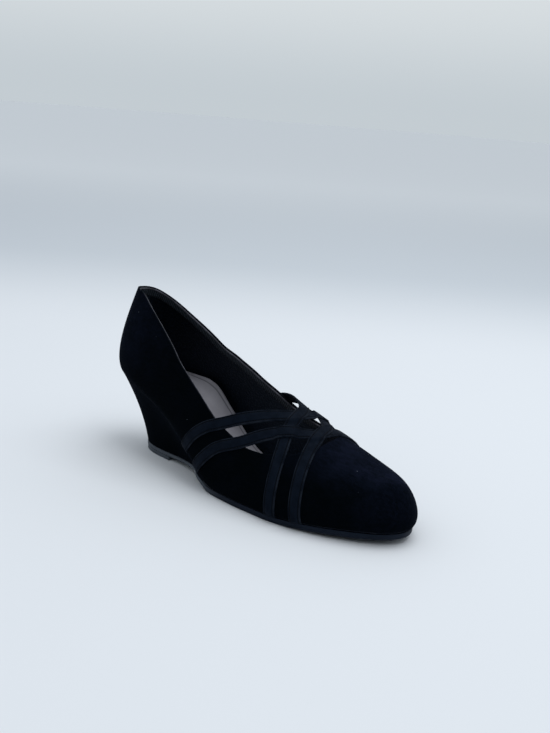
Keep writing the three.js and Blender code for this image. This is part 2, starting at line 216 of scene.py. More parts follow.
def form(side, s, t, grow):
    """A point of the last: s runs along the feather line, t up the wall to the ridge. The wall is a power arch
    from the feather line to the ridge, pushed out by a low bulge and by grow; at both ends it fans in."""
    s, t = np.clip(s, 0, 1), np.clip(t, 0, 1)
    u = share_of(s)
    foot = np.stack([LENGTH * u, side * half_width(side, s)], -1)
    heel = HEEL_FAN[0] - HEEL_FAN[1]
    toe = TOE_FAN[1] - TOE_FAN[0]
    back = HEEL_FAN[0] - heel * (1 - np.clip(u / HEEL_FAN[0], 0, 1) ** (HEEL_FAN[0] / heel))
    rest = np.clip((1 - u) / (1 - TOE_FAN[0]), 0, 1)
    front = TOE_FAN[0] + toe * (1 - rest ** ((1 - TOE_FAN[0]) / toe))
    r = np.where(u < HEEL_FAN[0], back, np.where(u > TOE_FAN[0], front, u))
    sr = station_of(r)
    lean = np.clip((r - LEAN[0]) / (LEAN[1] - LEAN[0]), 0, 1)
    middle = 0.5 * (half_width(1, sr) - half_width(-1, sr)) * lean
    head = np.stack([LENGTH * r, middle + RIDGE_IN * ridge_in(r)], -1)
    way = head - foot
    far = np.linalg.norm(way, axis=-1) + 1e-9
    n = np.where(np.asarray(side) < 0, arch_outer(u), arch_inner(u))
    cos = np.where(t >= 1, 0, np.cos(t * np.pi / 2))
    sin = np.sin(t * np.pi / 2)
    low = bed_at(u)
    full = RIDGE_HEIGHT * ridge_share(r) - low
    rise = full * sin ** (2 / n)
    v = np.clip(rise / np.minimum(BULGE_SPAN * bulge_height(u), full), 0, 1)
    out = BULGE * bulge_share(u) * HUMP * v**0.6 * (1 - v) ** 2 + grow * cos
    plan = foot + way * (1 - cos ** (2 / n) - out / far)[..., None]
    return np.concatenate([plan, (low + rise + grow * sin)[..., None]], -1)


def sheet(s, station, grow):
    """The same form as one sheet: station 0 is the outer feather line, 1 the ridge and 2 the inner one."""
    station = np.clip(station, 0, 2)
    side = np.where(station <= 1, -1, 1)
    return form(side, s, np.where(station <= 1, station, 2 - station), grow)


def square_step(s, station, grow, along):
    """The step in s and station that is square, on the form, to the direction along, and a millimetre long.
    With the sheet's two slopes p and q, it is (-along.q, along.p) over the length of its own image."""
    tiny = 1e-3
    here = sheet(s, station, grow)
    ahead = np.where(s > 1 - 2 * tiny, -tiny, tiny)
    up = np.where(station > 1, -tiny, tiny)
    ds = (sheet(s + ahead, station, grow) - here) / ahead[..., None]
    dt = (sheet(s, station + up, grow) - here) / up[..., None]
    path = ds * along[..., :1] + dt * along[..., 1:]
    step = np.stack([-(path * dt).sum(-1), (path * ds).sum(-1)], -1)
    image = ds * step[..., :1] + dt * step[..., 1:]
    return step / np.linalg.norm(image, axis=-1)[..., None], unit(image)


HEEL_BACK = 26
SOCK_INSET = 0.7
# Where the last's heel tip lies in the part's frame, by the heel's back and the sock's outer edge.
form_at = np.array(
    [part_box("outsole")[0].x / MM - HEEL_BACK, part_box("insole")[0].y / MM + BALL_HALF - SOCK_INSET, 0]
)
# Points nearer than this become one.
MERGE = 0.004


def stand(name, data):
    """A new object in the scene with this data."""
    made = bpy.data.objects.new(name, data)
    bpy.context.scene.collection.objects.link(made)
    return made


def make_piece(name, patches, node=None, marks=None):
    """A mesh from grids of points in the last's millimetres. Neighbours in a grid make a face, and points that
    fall together become one, which closes seams and poles. marks are numbers kept at each point."""
    points, corners, start = [], [], 0
    for grid in patches:
        n, m = grid.shape[:2]
        number = start + np.arange(n * m).reshape(n, m)
        square = [number[:-1, :-1], number[1:, :-1], number[1:, 1:], number[:-1, 1:]]
        corners.append(np.stack(square, -1).reshape(-1, 4))
        points.append(grid.reshape(-1, 3))
        start += n * m
    points, faces = (np.concatenate(points) + form_at) * MM, np.concatenate(corners)
    mesh = bpy.data.meshes.new(name)
    mesh.vertices.add(len(points))
    mesh.vertices.foreach_set("co", points.astype(np.float32).ravel())
    mesh.loops.add(faces.size)
    mesh.loops.foreach_set("vertex_index", faces.astype(np.int32).ravel())
    mesh.polygons.add(len(faces))
    mesh.polygons.foreach_set("loop_start", np.arange(0, faces.size, 4, dtype=np.int32))
    mesh.update(calc_edges=True)
    for label, grids in (marks or {}).items():
        values = np.concatenate([np.asarray(g, float).ravel() for g in grids]).astype(np.float32)
        mesh.attributes.new(label, "FLOAT", "POINT").data.foreach_set("value", values)
    skin = bmesh.new()
    skin.from_mesh(mesh)
    bmesh.ops.remove_doubles(skin, verts=skin.verts, dist=MERGE * MM)
    skin.to_mesh(mesh)
    skin.free()
    mesh.polygons.foreach_set("use_smooth", np.ones(len(mesh.polygons), bool))
    made = stand(name, mesh)
    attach(made, "root")
    if node:
        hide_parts(node)
    return made


def flip(grid):
    """The same grid seen from its other face."""
    return grid[:, ::-1]


def outwards(side, grids):
    """The grids of one side with their faces outwards: those of the inner side are turned over."""
    return grids if side < 0 else [flip(g) for g in grids]


# Suede. Short-napped blue-black leather for the upper and the wedge: its pile lies in brushed clouds, with
# painted light that makes it lighter where it faces up; it picks up lint, and its edges go grey, partly from
# handling and partly as a painted highlight.


def give(tree, socket, value):
    """Leads another node's output into a shader input, or sets it to a number, a vector or a colour."""
    if isinstance(value, bpy.types.NodeSocket):
        tree.links.new(value, socket)
    else:
        socket.default_value = (*value, 1) if socket.type == "RGBA" else value


def put(tree, kind, inputs=None, **settings):
    """One shader node with its settings and inputs."""
    made = tree.nodes.new("ShaderNode" + kind)
    for label, value in settings.items():
        setattr(made, label, value)
    for label, value in (inputs or {}).items():
        give(tree, made.inputs[label], value)
    return made


def noise(tree, place, scale, detail, roughness=0.5):
    """Soft noise from 0 to 1 over the place."""
    inputs = {"Vector": place, "Scale": scale, "Detail": detail, "Roughness": roughness}
    return put(tree, "TexNoise", inputs).outputs["Fac"]


def maths(tree, operation, *values):
    """One sum on one, two or three values."""
    made = put(tree, "Math", operation=operation)
    for socket, value in zip(made.inputs, values):
        give(tree, socket, value)
    return made.outputs[0]


def product(tree, one, two):
    """The product of two values."""
    return maths(tree, "MULTIPLY", one, two)


def spread(tree, value, low, high, to_low=0.0, to_high=1.0):
    """The value's run from low to high laid smoothly over another run."""
    inputs = {"Value": value, "From Min": low, "From Max": high, "To Min": to_low, "To Max": to_high}
    return put(tree, "MapRange", inputs, interpolation_type="SMOOTHSTEP").outputs["Result"]


def blend(tree, amount, one, two):
    """A colour between two, by an amount from 0 to 1."""
    return put(tree, "Mix", {0: amount, 6: one, 7: two}, data_type="RGBA").outputs[2]


def effect(name, inputs, outputs):
    """An empty shader group with inputs and outputs of these names and kinds, and the sockets inside it."""
    group = bpy.data.node_groups.new(name, "ShaderNodeTree")
    for way, sockets in (("INPUT", inputs), ("OUTPUT", outputs)):
        for label, kind in sockets.items():
            group.interface.new_socket(label, in_out=way, socket_type="NodeSocket" + kind)
    return group, group.nodes.new("NodeGroupInput").outputs, group.nodes.new("NodeGroupOutput").inputs


def finish(name, **constants):
    """A material with its shader's plain numbers set, and the tree, the shader and the place to build on."""
    made = bpy.data.materials.new(name)
    made.use_nodes = True
    tree = made.node_tree
    shader = tree.nodes["Principled BSDF"]
    for label, value in constants.items():
        give(tree, shader.inputs[label.replace("_", " ").title().replace("Ior", "IOR")], value)
    return made, tree, shader, put(tree, "TexCoord").outputs["Object"]


def feed(tree, shader, colour, roughness, height=None, depth=0.0002, strength=1.0):
    """Leads the colour, the roughness and the bump into the shader."""
    give(tree, shader.inputs["Base Color"], colour)
    give(tree, shader.inputs["Roughness"], roughness)
    if height is not None:
        bump = put(tree, "Bump", {"Height": height, "Distance": depth, "Strength": strength})
        give(tree, shader.inputs["Normal"], bump.outputs["Normal"])


def mark(tree, label):
    """A number that the mesh keeps at each point."""
    return put(tree, "Attribute", attribute_name=label).outputs["Fac"]


LINT = (0.16, 0.18, 0.22)
nap, nap_in, nap_out = effect(
    "nap",
    {"Place": "Vector", "Dark": "Color", "Light": "Color", "Painted_Light_And_Lint": "Float", "Lint": "Float"},
    {"Color": "Color", "Roughness": "Float", "Height": "Float"},
)
brush = put(nap, "Mapping", {"Vector": nap_in["Place"], "Scale": (1, 2.6, 2.2), "Rotation": (0, 0.3, 0.5)})
cloud = spread(nap, noise(nap, nap_in["Place"], 46, 4, 0.55), 0.38, 0.68)
streak = spread(nap, noise(nap, brush.outputs[0], 210, 5, 0.7), 0.35, 0.7)
pile = spread(nap, noise(nap, nap_in["Place"], 2100, 3, 0.75), 0.3, 0.72)
lay = maths(nap, "MULTIPLY_ADD", streak, 0.3, product(nap, cloud, 0.3))
lay = maths(nap, "MULTIPLY_ADD", pile, 0.4, lay)
# The tone is scaled by painted light: near full where the suede faces up, little low on the sides.
lay = product(nap, lay, maths(nap, "MULTIPLY_ADD", nap_in["Painted_Light_And_Lint"], 0.85, 0.15))
shade = blend(nap, lay, nap_in["Dark"], nap_in["Light"])
speck = put(nap, "TexVoronoi", {"Vector": nap_in["Place"], "Scale": 190})
chosen = put(nap, "SeparateColor", {"Color": speck.outputs["Color"]})
# More lint specks show where the painted light is stronger.
fewer = maths(nap, "MULTIPLY_ADD", nap_in["Painted_Light_And_Lint"], -0.5, 0.84)
lint = product(nap, spread(nap, speck.outputs["Distance"], 0.064, 0.036), nap_in["Lint"])
lint = product(nap, lint, maths(nap, "GREATER_THAN", chosen.outputs[0], fewer))
give(nap, nap_out["Color"], blend(nap, lint, shade, LINT))
give(nap, nap_out["Roughness"], spread(nap, lay, 0, 1, 1.0, 0.86))
give(nap, nap_out["Height"], maths(nap, "MULTIPLY_ADD", pile, 0.5, lay))

SUEDE_DARK = (0.0002, 0.0011, 0.0014)
SUEDE_LIGHT = (0.0074, 0.0102, 0.0240)
EDGE_WEAR_AND_HIGHLIGHT = (0.026, 0.029, 0.037)
suede, tree, shader, place = finish(
    "blue_black_suede",
    sheen_weight=0.022,
    sheen_roughness=0.3,
    sheen_tint=(0.42, 0.55, 1),
    specular_ior_level=0.015,
)
pelt_inputs = {"Dark": SUEDE_DARK, "Light": SUEDE_LIGHT, "Painted_Light_And_Lint": mark(tree, "painted_toplight"), "Lint": 0.7}
pelt = put(tree, "Group", {"Place": place, **pelt_inputs}, node_tree=nap)
# Near the folded rim and the feather line the suede goes grey in noisy patches: partly wear, partly a painted
# highlight.
patchy = spread(tree, noise(tree, place, 130, 4), 0.36, 0.66, 0.25, 1)
rim_wear_and_highlight = product(tree, spread(tree, mark(tree, "rim"), 1.0, 0.2, 0, 0.3), patchy)
seam_wear_and_highlight = product(tree, spread(tree, mark(tree, "foot"), 0.7, 0.1, 0, 0.6), patchy)
worn_and_highlit = blend(tree, maths(tree, "MAXIMUM", rim_wear_and_highlight, seam_wear_and_highlight), pelt.outputs["Color"], EDGE_WEAR_AND_HIGHLIGHT)
feed(tree, shader, worn_and_highlit, pelt.outputs["Roughness"], pelt.outputs["Height"], 0.00018, 0.55)

# Upper. One suede shell, lasted over the form and drawn in under the insole. Its top edge is folded over
# the lining and stitched down inside; the throat in front of the bands is the same folded edge.
FOLD = 1.4
FOLD_PROUD = 0.15
SUEDE_THICK = 0.3
COLLAR_COLUMNS = 224
TOE_COLUMNS = 72
WALL_ROWS = 60
ROLL_TURNS = 10
# A mark's distance from an edge that is too far to matter.
FAR = 9
# How much painted light lies on the back of the heel and on the toe's tip, where the crown's is one.
BACK_PAINTED_LIGHT = 0.6
TIP_PAINTED_LIGHT = 0.7
# Share of length at the feather line and at the edge, height up the wall on the outer and inner side.
TOPLINE = [
    (0, 0, 0.5, 0.5),
    (0.03, 0.03, 0.512, 0.492),
    (0.065, 0.065, 0.516, 0.482),
    (0.128, 0.128, 0.491, 0.467),
    (0.182, 0.182, 0.466, 0.461),
    (0.243, 0.243, 0.428, 0.455),
    (0.299, 0.299, 0.388, 0.447),
    (0.37, 0.37, 0.373, 0.494),
    (0.442, 0.442, 0.37, 0.54),
    (0.495, 0.495, 0.371, 0.545),
    (0.557, 0.557, 0.371, 0.52),
    (0.61, 0.606, 0.4, 0.497),
    (0.66, 0.648, 0.456, 0.505),
    (0.705, 0.697, 0.56, 0.575),
    (0.745, 0.734, 0.72, 0.72),
    (0.77, 0.748, 0.85, 0.85),
    (0.8, 0.753, 1, 1),
]
topline_key = np.linspace(0, 1, len(TOPLINE))
topline = [curve(topline_key, station_of(row) if c < 2 else row) for c, row in enumerate(np.array(TOPLINE).T)]


def upper_columns(side):
    """Stations at the feather line and at the edge, and the height up the wall, of each column: the collar's
    follow the topline's rows, and the toe's run on to the tip and reach the ridge."""
    q = np.linspace(0, 1, COLLAR_COLUMNS + 1)
    foot, head, top = topline[0](q), topline[1](q), topline[2 if side < 0 else 3](q)
    rest = np.linspace(0, 1, TOE_COLUMNS + 1)[1:]
    foot = np.concatenate([foot, foot[-1] + (1 - foot[-1]) * rest])
    head = np.concatenate([head, head[-1] + (1 - head[-1]) * rest])
    return foot, head, np.concatenate([top, np.ones(TOE_COLUMNS)])


def wall_sheet(side, grow, rows=WALL_ROWS):
    """The wall of one side: each column runs straight, in station and height, from feather line to edge."""
    foot, head, top = (a[:, None] for a in upper_columns(side))
    k = np.linspace(0, 1, rows + 1)[None, :]
    return form(side, foot + (head - foot) * k, top * k, grow)


def edge_path(side):
    """The topline of one side in station and height over the arch, with its direction."""
    _, head, top = (a[: COLLAR_COLUMNS + 1] for a in upper_columns(side))
    path = np.stack([head, top if side < 0 else 2 - top], -1)
    return path, np.gradient(path, axis=0)


def edge_inside(side, depths, grow):
    """Points below the topline on the inner face: square steps down the wall from the edge."""
    path, along = edge_path(side)
    step, _ = square_step(path[:, 0], path[:, 1], 0.0, along)
    down = step * np.where(side < 0, -1, 1)
    spot = path[:, None, :] + down[:, None, :] * np.asarray(depths)[None, :, None]
    return sheet(spot[..., 0], spot[..., 1], grow)


def edge_frames():
    """For each side, at each column of the edge: the outer and inner skin's points, the direction that goes on
    up the wall and the one that goes inwards. Both sides share one frame where they meet."""
    frames = {}
    for side in (-1, 1):
        path, along = edge_path(side)
        _, image = square_step(path[:, 0], path[:, 1], 0.0, along)
        top, under = (sheet(path[:, 0], path[:, 1], grow) for grow in (WALL, -FOLD_PROUD))
        frames[side] = [top, under, image * (1 if side < 0 else -1), unit(under - top)]
    for end in (0, -1):
        for part in range(4):
            shared = (frames[-1][part][end] + frames[1][part][end]) / 2
            frames[-1][part][end] = frames[1][part][end] = shared
    return frames


def edge_roll(side):
    """The fold over the edge: a half circle from the outer skin to the inner one, standing on the wall."""
    top, under, up, _ = edges[side]
    middle, arm = (top + under) / 2, (top - under) / 2
    reach = np.linalg.norm(arm, axis=-1)[:, None]
    turn = np.linspace(0, np.pi, ROLL_TURNS + 1)[None, :, None]
    return middle[:, None] + arm[:, None] * np.cos(turn) + (up * reach)[:, None] * np.sin(turn)


def nearest(points, line, most):
    """Distance from each point to the nearest point of a line, no more than most."""
    flat = points.reshape(-1, 3)
    found = np.full(len(flat), float(most))
    for some in np.array_split(np.arange(len(flat)), max(1, len(flat) // 4000)):
        away = np.linalg.norm(flat[some, None] - line[None], axis=-1).min(1)
        found[some] = np.minimum(away, most)
    return found.reshape(points.shape[:-1])


def painted_light_on_top(side):
    """How much painted light the suede gets, from 0 to 1, lighter where it faces up: most on the crown of the
    toe, less on the toe's tip and on the back of the heel, none low on the sides. Each is a smooth step of
    place."""
    foot, head, top = (a[:, None] for a in upper_columns(side))
    k = np.linspace(0, 1, WALL_ROWS + 1)[None, :]
    share = share_of(foot + (head - foot) * k)
    crown = ease(top * k, 0.3, 0.85)
    back = BACK_PAINTED_LIGHT * ease(share, 0.34, 0.04) * ease(top * k, 0.02, 0.4)
    tip = TIP_PAINTED_LIGHT * ease(share, 0.86, 0.99) * ease(top * k, -0.2, 0.3)
    return np.maximum(np.maximum(crown, back), tip)


edges = edge_frames()
skin, rim_marks, foot_marks, painted_light_marks = [], [], [], []
for side in (-1, 1):
    outside, roll = wall_sheet(side, WALL), edge_roll(side)
    fold = edge_inside(side, np.linspace(0, FOLD, 4), -FOLD_PROUD)
    crest = roll[:, ROLL_TURNS // 2]
    height = np.linalg.norm(outside[:, -1] - outside[:, 0], axis=-1)[:, None]
    up_wall = np.linspace(0, 1, WALL_ROWS + 1)[None] * height
    # The painted top light of this side: on the wall by place, on the roll the same as the wall's top row, none
    # on the fold.
    painted_toplight = painted_light_on_top(side)
    held = np.broadcast_to(painted_toplight[: COLLAR_COLUMNS + 1, -1:], roll.shape[:2])
    skin += outwards(side, [outside, roll, fold])
    from_rim = [nearest(outside, crest[::2], FAR), nearest(roll, crest, FAR), nearest(fold, crest, FAR)]
    rim_marks += outwards(side, from_rim)
    foot_marks += outwards(side, [up_wall, *(np.full(g.shape[:2], FAR) for g in (roll, fold))])
    painted_light_marks += outwards(side, [painted_toplight, held, np.zeros(fold.shape[:2])])
upper_marks = {"rim": rim_marks, "foot": foot_marks, "painted_toplight": painted_light_marks}
upper = make_piece("upper_suede", skin, "upper", upper_marks)
upper.data.materials.append(suede)
thick = upper.modifiers.new("thickness", "SOLIDIFY")
thick.thickness = SUEDE_THICK * MM
thick.offset = -1

# Lining. Black grained leather stuck inside the upper, trimmed under the folded edge, and padded a little
# at the back of the heel where it grips the foot.
LINING_OUT = 0.9
LINING_IN = 0.4
LINING_ROWS = 40
PAD = 0.9
# How far the padding reaches forwards, its low and high end over the seat, and how softly each of them starts.
PAD_REACH = 34
PAD_LOW, PAD_HIGH = 12, 56
PAD_SOFT_LOW, PAD_SOFT_HIGH = 16, 10
PAD_TOWARDS = np.array([48.0, 0.0])
LINING_DARK = (0.0004, 0.0010, 0.0022)
LINING_LIGHT = (0.0030, 0.0056, 0.0105)


def pad_at(points):
    """How far the padding stands in: a smooth hump on the back of the heel, fading forwards, up and down."""
    over = points[..., 2] - SEAT_HEIGHT
    high = np.clip((over - PAD_LOW) / PAD_SOFT_LOW, 0, 1) * np.clip((PAD_HIGH - over) / PAD_SOFT_HIGH, 0, 1)
    return PAD * ease(points[..., 0], PAD_REACH, 0) * ease(high, 0, 1)


lining_patches = []
for side in (-1, 1):
    outward = wall_sheet(side, LINING_OUT, LINING_ROWS)
    inward = wall_sheet(side, LINING_IN, LINING_ROWS)
    inward[..., :2] += unit(PAD_TOWARDS - inward[..., :2]) * pad_at(inward)[..., None]
    bottom = np.stack([inward[:, 0], outward[:, 0]], 1)
    brim = np.stack([outward[: COLLAR_COLUMNS + 1, -1], inward[: COLLAR_COLUMNS + 1, -1]], 1)
    lining_patches += outwards(side, [outward, flip(inward), bottom, brim])
lining = make_piece("upper_lining", lining_patches)

grain, grain_in, grain_out = effect(
    "leather_grain", {"Place": "Vector", "Scale": "Float"}, {"Shade": "Float", "Height": "Float"}
)
cells = put(grain, "TexVoronoi", {"Vector": grain_in["Place"], "Scale": grain_in["Scale"]})
warp = noise(grain, grain_in["Place"], 240, 5, 0.6)
pebble = spread(grain, cells.outputs["Distance"], 0.75, 0.1)
give(grain, grain_out["Shade"], product(grain, pebble, spread(grain, warp, 0.3, 0.7, 0.4, 1)))
give(grain, grain_out["Height"], maths(grain, "ADD", pebble, warp))

black_leather, tree, shader, place = finish(
    "black_lining_leather", specular_ior_level=0.28, specular_tint=(0.4, 0.65, 1)
)
hide = put(tree, "Group", {"Place": place, "Scale": 620}, node_tree=grain)
colour = blend(tree, hide.outputs["Shade"], LINING_DARK, LINING_LIGHT)
shine = spread(tree, hide.outputs["Shade"], 0, 1, 0.5, 0.28)
feed(tree, shader, colour, shine, hide.outputs["Height"], 0.0002, 0.9)
lining.data.materials.append(black_leather)

# Topline bead. A thin grey cord of turned leather that edges the lining just inside the folded rim, all
# the way round the opening; it catches the light as one fine line.
BEAD_HALF = 0.5
BEAD_IN = 0.4
BEAD_UP = 0.5
BEAD_SIDES = 12
BEAD_DARK = (0.026, 0.027, 0.036)
BEAD_LIGHT = (0.085, 0.088, 0.108)


def round_edge(make):
    """Rows made for both sides joined to one closed run: forwards on the outer side, back on the inner one."""
    near, far = make(-1), make(1)
    run = np.concatenate([near, far[-2::-1]])
    run[0] = run[-1] = (run[0] + run[-1]) / 2
    return run


def bead_side(side):
    """The cord's rings along one side: circles round a line a little in from the skin and up from the edge."""
    _, under, up, inward = edges[side]
    middle = under + inward * BEAD_IN + up * BEAD_UP
    turn = np.linspace(0, 2 * np.pi, BEAD_SIDES + 1)[None, :, None]
    return middle[:, None] + BEAD_HALF * (inward[:, None] * np.cos(turn) + up[:, None] * np.sin(turn))


bead = make_piece("topline_bead", [flip(round_edge(bead_side))])
piping, tree, shader, place = finish("grey_piping", specular_ior_level=0.25)
colour = blend(tree, spread(tree, noise(tree, place, 90, 5, 0.65), 0.36, 0.64), BEAD_DARK, BEAD_LIGHT)
crackle = noise(tree, place, 1600, 3)
feed(tree, shader, colour, spread(tree, crackle, 0, 1, 0.75, 0.5), crackle, 0.0001, 0.6)
bead.data.materials.append(piping)

# Topline tape. A ribbed tape stitched over the raw edge of the lining, five millimetres wide, right under the
# bead; it shows on the far wall as a band of fine cross lines.
TAPE_TOP = 0.3
TAPE_WIDE = 5.4
TAPE_IN = 0.62
TAPE_BACK = 0.2
TAPE_DARK = (0.0012, 0.0020, 0.0030)
TAPE_LIGHT = (0.045, 0.060, 0.078)
TAPE_PITCH = 1.45
TAPE_ROWS = 8
tape_across = np.linspace(-1, 1, TAPE_ROWS + 1)
tape_depths = TAPE_TOP + TAPE_WIDE * (tape_across + 1) / 2
tape_bulge = TAPE_BACK + (TAPE_IN - TAPE_BACK) * np.sqrt(np.clip(1 - tape_across**6, 0, 1))


def tape_side(side):
    """The tape's face and back on one side: rows down the wall whose height over it is rounded at both edges."""
    face = edge_inside(side, tape_depths, 0)
    deep = edge_inside(side, tape_depths, -1)
    back = edge_inside(side, tape_depths, -TAPE_BACK)
    return np.concatenate([face + (deep - face) * tape_bulge[:, None], back[:, ::-1]], 1)


tape_grid = round_edge(tape_side)
tape_run = np.broadcast_to(lengths_along(tape_grid[:, TAPE_ROWS // 2])[:, None], tape_grid.shape[:2])
tape_down = np.broadcast_to(np.concatenate([tape_depths, tape_depths[::-1]]), tape_grid.shape[:2])
tape_marks = {"along": [tape_run], "across": [tape_down]}
tape = make_piece("topline_tape", [tape_grid], marks=tape_marks)

weave, weave_in, weave_out = effect(
    "ribbed_weave",
    {"Along": "Float", "Across": "Float", "Pitch": "Float"},
    {"Shade": "Float", "Height": "Float"},
)
turn = maths(weave, "DIVIDE", 2 * math.pi, weave_in["Pitch"])
rib = maths(weave, "SINE", product(weave, weave_in["Along"], turn))
warp_thread = product(weave, weave_in["Across"], product(weave, turn, 1.35))
warp_thread = maths(weave, "SINE", warp_thread)
both = maths(weave, "MULTIPLY_ADD", product(weave, rib, warp_thread), 0.5, rib)
give(weave, weave_out["Shade"], spread(weave, both, -1.4, 1.4))
give(weave, weave_out["Height"], both)


def woven(tree, pitch):
    """The weave laid by a mesh's two marks, with its ribs a pitch apart."""
    inputs = {"Along": mark(tree, "along"), "Across": mark(tree, "across"), "Pitch": pitch}
    return put(tree, "Group", inputs, node_tree=weave)


ribbed, tree, shader, place = finish("ribbed_tape", specular_ior_level=0.2)
cloth = woven(tree, TAPE_PITCH)
colour = blend(tree, cloth.outputs["Shade"], TAPE_DARK, TAPE_LIGHT)
shine = spread(tree, cloth.outputs["Shade"], 0, 1, 0.7, 0.5)
feed(tree, shader, colour, shine, cloth.outputs["Height"], 0.0001, 0.7)
tape.data.materials.append(ribbed)

# Topline stitching. One row of dark thread that holds the tape to the lining along its lower edge; each
# stitch dips at both ends.
STITCH_PITCH = 2.5
STITCH_LONG = 1.8
STITCH_DEEP = 4.7
THREAD_HALF = 0.15
THREAD_DARK = (0.005, 0.006, 0.008)
THREAD_GREY = (0.010, 0.012, 0.016)


def stitch_row(line, out, pitch, long, half, rings=6, sides=6):
    """Stitches along a line: each is a short tube whose middle line is a shallow arch over the surface, closed
    to a point at its ends. Gives one grid for each stitch, rings along by sides round."""
    steps = lengths_along(line)
    count = int(steps[-1] / pitch)
    start = (np.arange(count) + 0.5) * steps[-1] / count - long / 2
    k = np.linspace(0, 1, rings + 1)
    where = start[:, None] + long * k
    middle = np.stack([np.interp(where, steps, line[:, c]) for c in range(3)], -1)
    away = unit(np.stack([np.interp(where, steps, out[:, c]) for c in range(3)], -1))
    across = np.cross(unit(np.gradient(middle, axis=1)), away)
    middle = middle + away * (half * (1.5 * np.sin(np.pi * k) - 0.6))[None, :, None]
    round_it = np.linspace(0, 2 * np.pi, sides + 1)
    girth = (half * np.sqrt(np.clip(1 - (2 * k - 1) ** 4, 0, 1)))[None, :, None, None]
    ring = across[:, :, None] * np.cos(round_it)[:, None] + away[:, :, None] * np.sin(round_it)[:, None]
    return list(middle[:, :, None] + ring * girth)


topline_stitches = []
for side in (-1, 1):
    rail, deeper = (edge_inside(side, [STITCH_DEEP], -TAPE_IN - more)[:, 0] for more in (0, 1))
    topline_stitches += stitch_row(rail, deeper - rail, STITCH_PITCH, STITCH_LONG, THREAD_HALF)
stitching = make_piece("topline_stitching", topline_stitches)
thread, tree, shader, place = finish("dark_thread", specular_ior_level=0.12)
ply = noise(tree, place, 2600, 2)
colour = blend(tree, ply, THREAD_DARK, THREAD_GREY)
feed(tree, shader, colour, spread(tree, ply, 0, 1, 0.8, 0.6), ply, 0.00008, 0.6)
stitching.data.materials.append(thread)

# Wedge. A moulded core under a glued suede cover, from the small foot on the outsole up to the feather
# line, hollowed at the back; its top edge is turned so that a fine seam shows along the upper.
HEEL_HALF = 18
HEEL_REACH = 77
OUTSOLE = 3.9
LIFT = 2.9
SOLE_MARGIN = 2.2
WAIST_RISE = 4.6
WEDGE_SHARE = 0.44
WEDGE_TURN = 0.45
WEDGE_LEVELS = 45
WEDGE_STATIONS = 151
# Painted top light on the wedge's suede, as a share of the toe crown's.
WEDGE_PAINTED_LIGHT = 0.06
RIBS = 16
# The flare's slope at the foot, and how far the top's outermost level and the next stand under the flat.
FLARE_START = 0.45
SEAM_DIPS = (0.22, 0.06)
# The heel's foot reaches to this share of the length, and its outline eases into the feather line's there.
HEEL_SHARE = 0.43
HEEL_EASE = (0.36, 0.47)
# How far the pieces on the sole's heel end stand back from its outline, and how much narrower they are.
HEEL_SET = 0.2
HEEL_NARROW = 0.99
FOOT_TURN = 0.25
# Share of length, half widths of the heel's foot on the outer and inner side.
HEEL_FOOT = [
    (0, 0, 0),
    (0.02, 0.572, 0.572),
    (0.05, 0.8, 0.8),
    (0.09, 0.933, 0.933),
    (0.14, 1, 1),
    (0.22, 1.056, 1.033),
    (0.3, 1.25, 1.139),
    (0.36, 1.5, 1.25),
    (0.43, 1.89, 1.444),
    (1, 1.89, 1.444),
]
# Share of length, share of the waist's rise, share left of the height over the lift, share of the toe
# spring, share of the outsole's thickness.
SOLE = [
    (0.1, 0, 1, 0, 0.667),
    (0.24, 0, 1, 0, 0.667),
    (0.27, 0.06, 1, 0, 0.641),
    (0.3, 0.2, 1, 0, 0.628),
    (0.333, 0.4, 1, 0, 0.615),
    (0.366, 0.54, 1, 0, 0.615),
    (0.396, 0.62, 0.923, 0, 0.641),
    (0.417, 0.7, 0.744, 0, 0.718),
    (0.4375, 0.8, 0.41, 0, 0.821),
    (0.458, 0.9, 0.103, 0, 0.897),
    (0.48, 1, 0, 0, 0.974),
    (0.6, 1, 0, 0, 1),
    (0.68, 1, 0, 0, 1),
    (0.72, 1, 0, 0.095, 1),
    (0.78, 1, 0, 0.357, 1),
    (0.84, 1, 0, 0.595, 1),
    (0.92, 1, 0, 0.81, 1),
    (1.02, 1, 0, 1, 1),
]
heel_outer, heel_inner = curves(HEEL_FOOT, by_station=True)
waist_rise, heel_hold, sole_spring, sole_thick = curves(SOLE)


def sole_edge(side, s):
    """The sole's outline: the heel's small foot, easing into the feather line with a margin."""
    u = share_of(s)
    half = HEEL_HALF * (heel_outer if side < 0 else heel_inner)(s)
    heel = np.stack([HEEL_BACK + HEEL_REACH * u / HEEL_SHARE, half], -1)
    half = half_width(side, s) * (1 + SOLE_MARGIN / BALL_HALF)
    fore = np.stack([(LENGTH + 2 * SOLE_MARGIN) * u - SOLE_MARGIN, half], -1)
    return (heel + (fore - heel) * ease(u, *HEEL_EASE)[..., None]) * (1, side)


def under_at(x):
    """Height of the sole's underside: the lift under the heel, the waist's rise and the toe's spring."""
    u = x / LENGTH
    return (LIFT + GAP + WAIST_RISE * waist_rise(u)) * heel_hold(u) + TOE_SPRING * sole_spring(u)


def top_at(x):
    """Height of the sole's top: its underside plus its share of the full thickness."""
    return under_at(x) + OUTSOLE * sole_thick(x / LENGTH)


def ring_of(near, far, ribs):
    """One loop round a slab: the near edge forwards, across its front if that is open, the far edge back."""
    if np.allclose(near[-1], far[-1]):
        return np.concatenate([near, far[-2:0:-1]])
    across = near[-1] + (far[-1] - near[-1]) * np.linspace(0, 1, ribs + 1)[1:-1, None]
    return np.concatenate([near, across, far[:0:-1]])


def walled(rings):
    """Loops set one over the other as one grid, closed round."""
    walls = np.stack(rings, 1)
    return np.concatenate([walls, walls[:1]], 0)


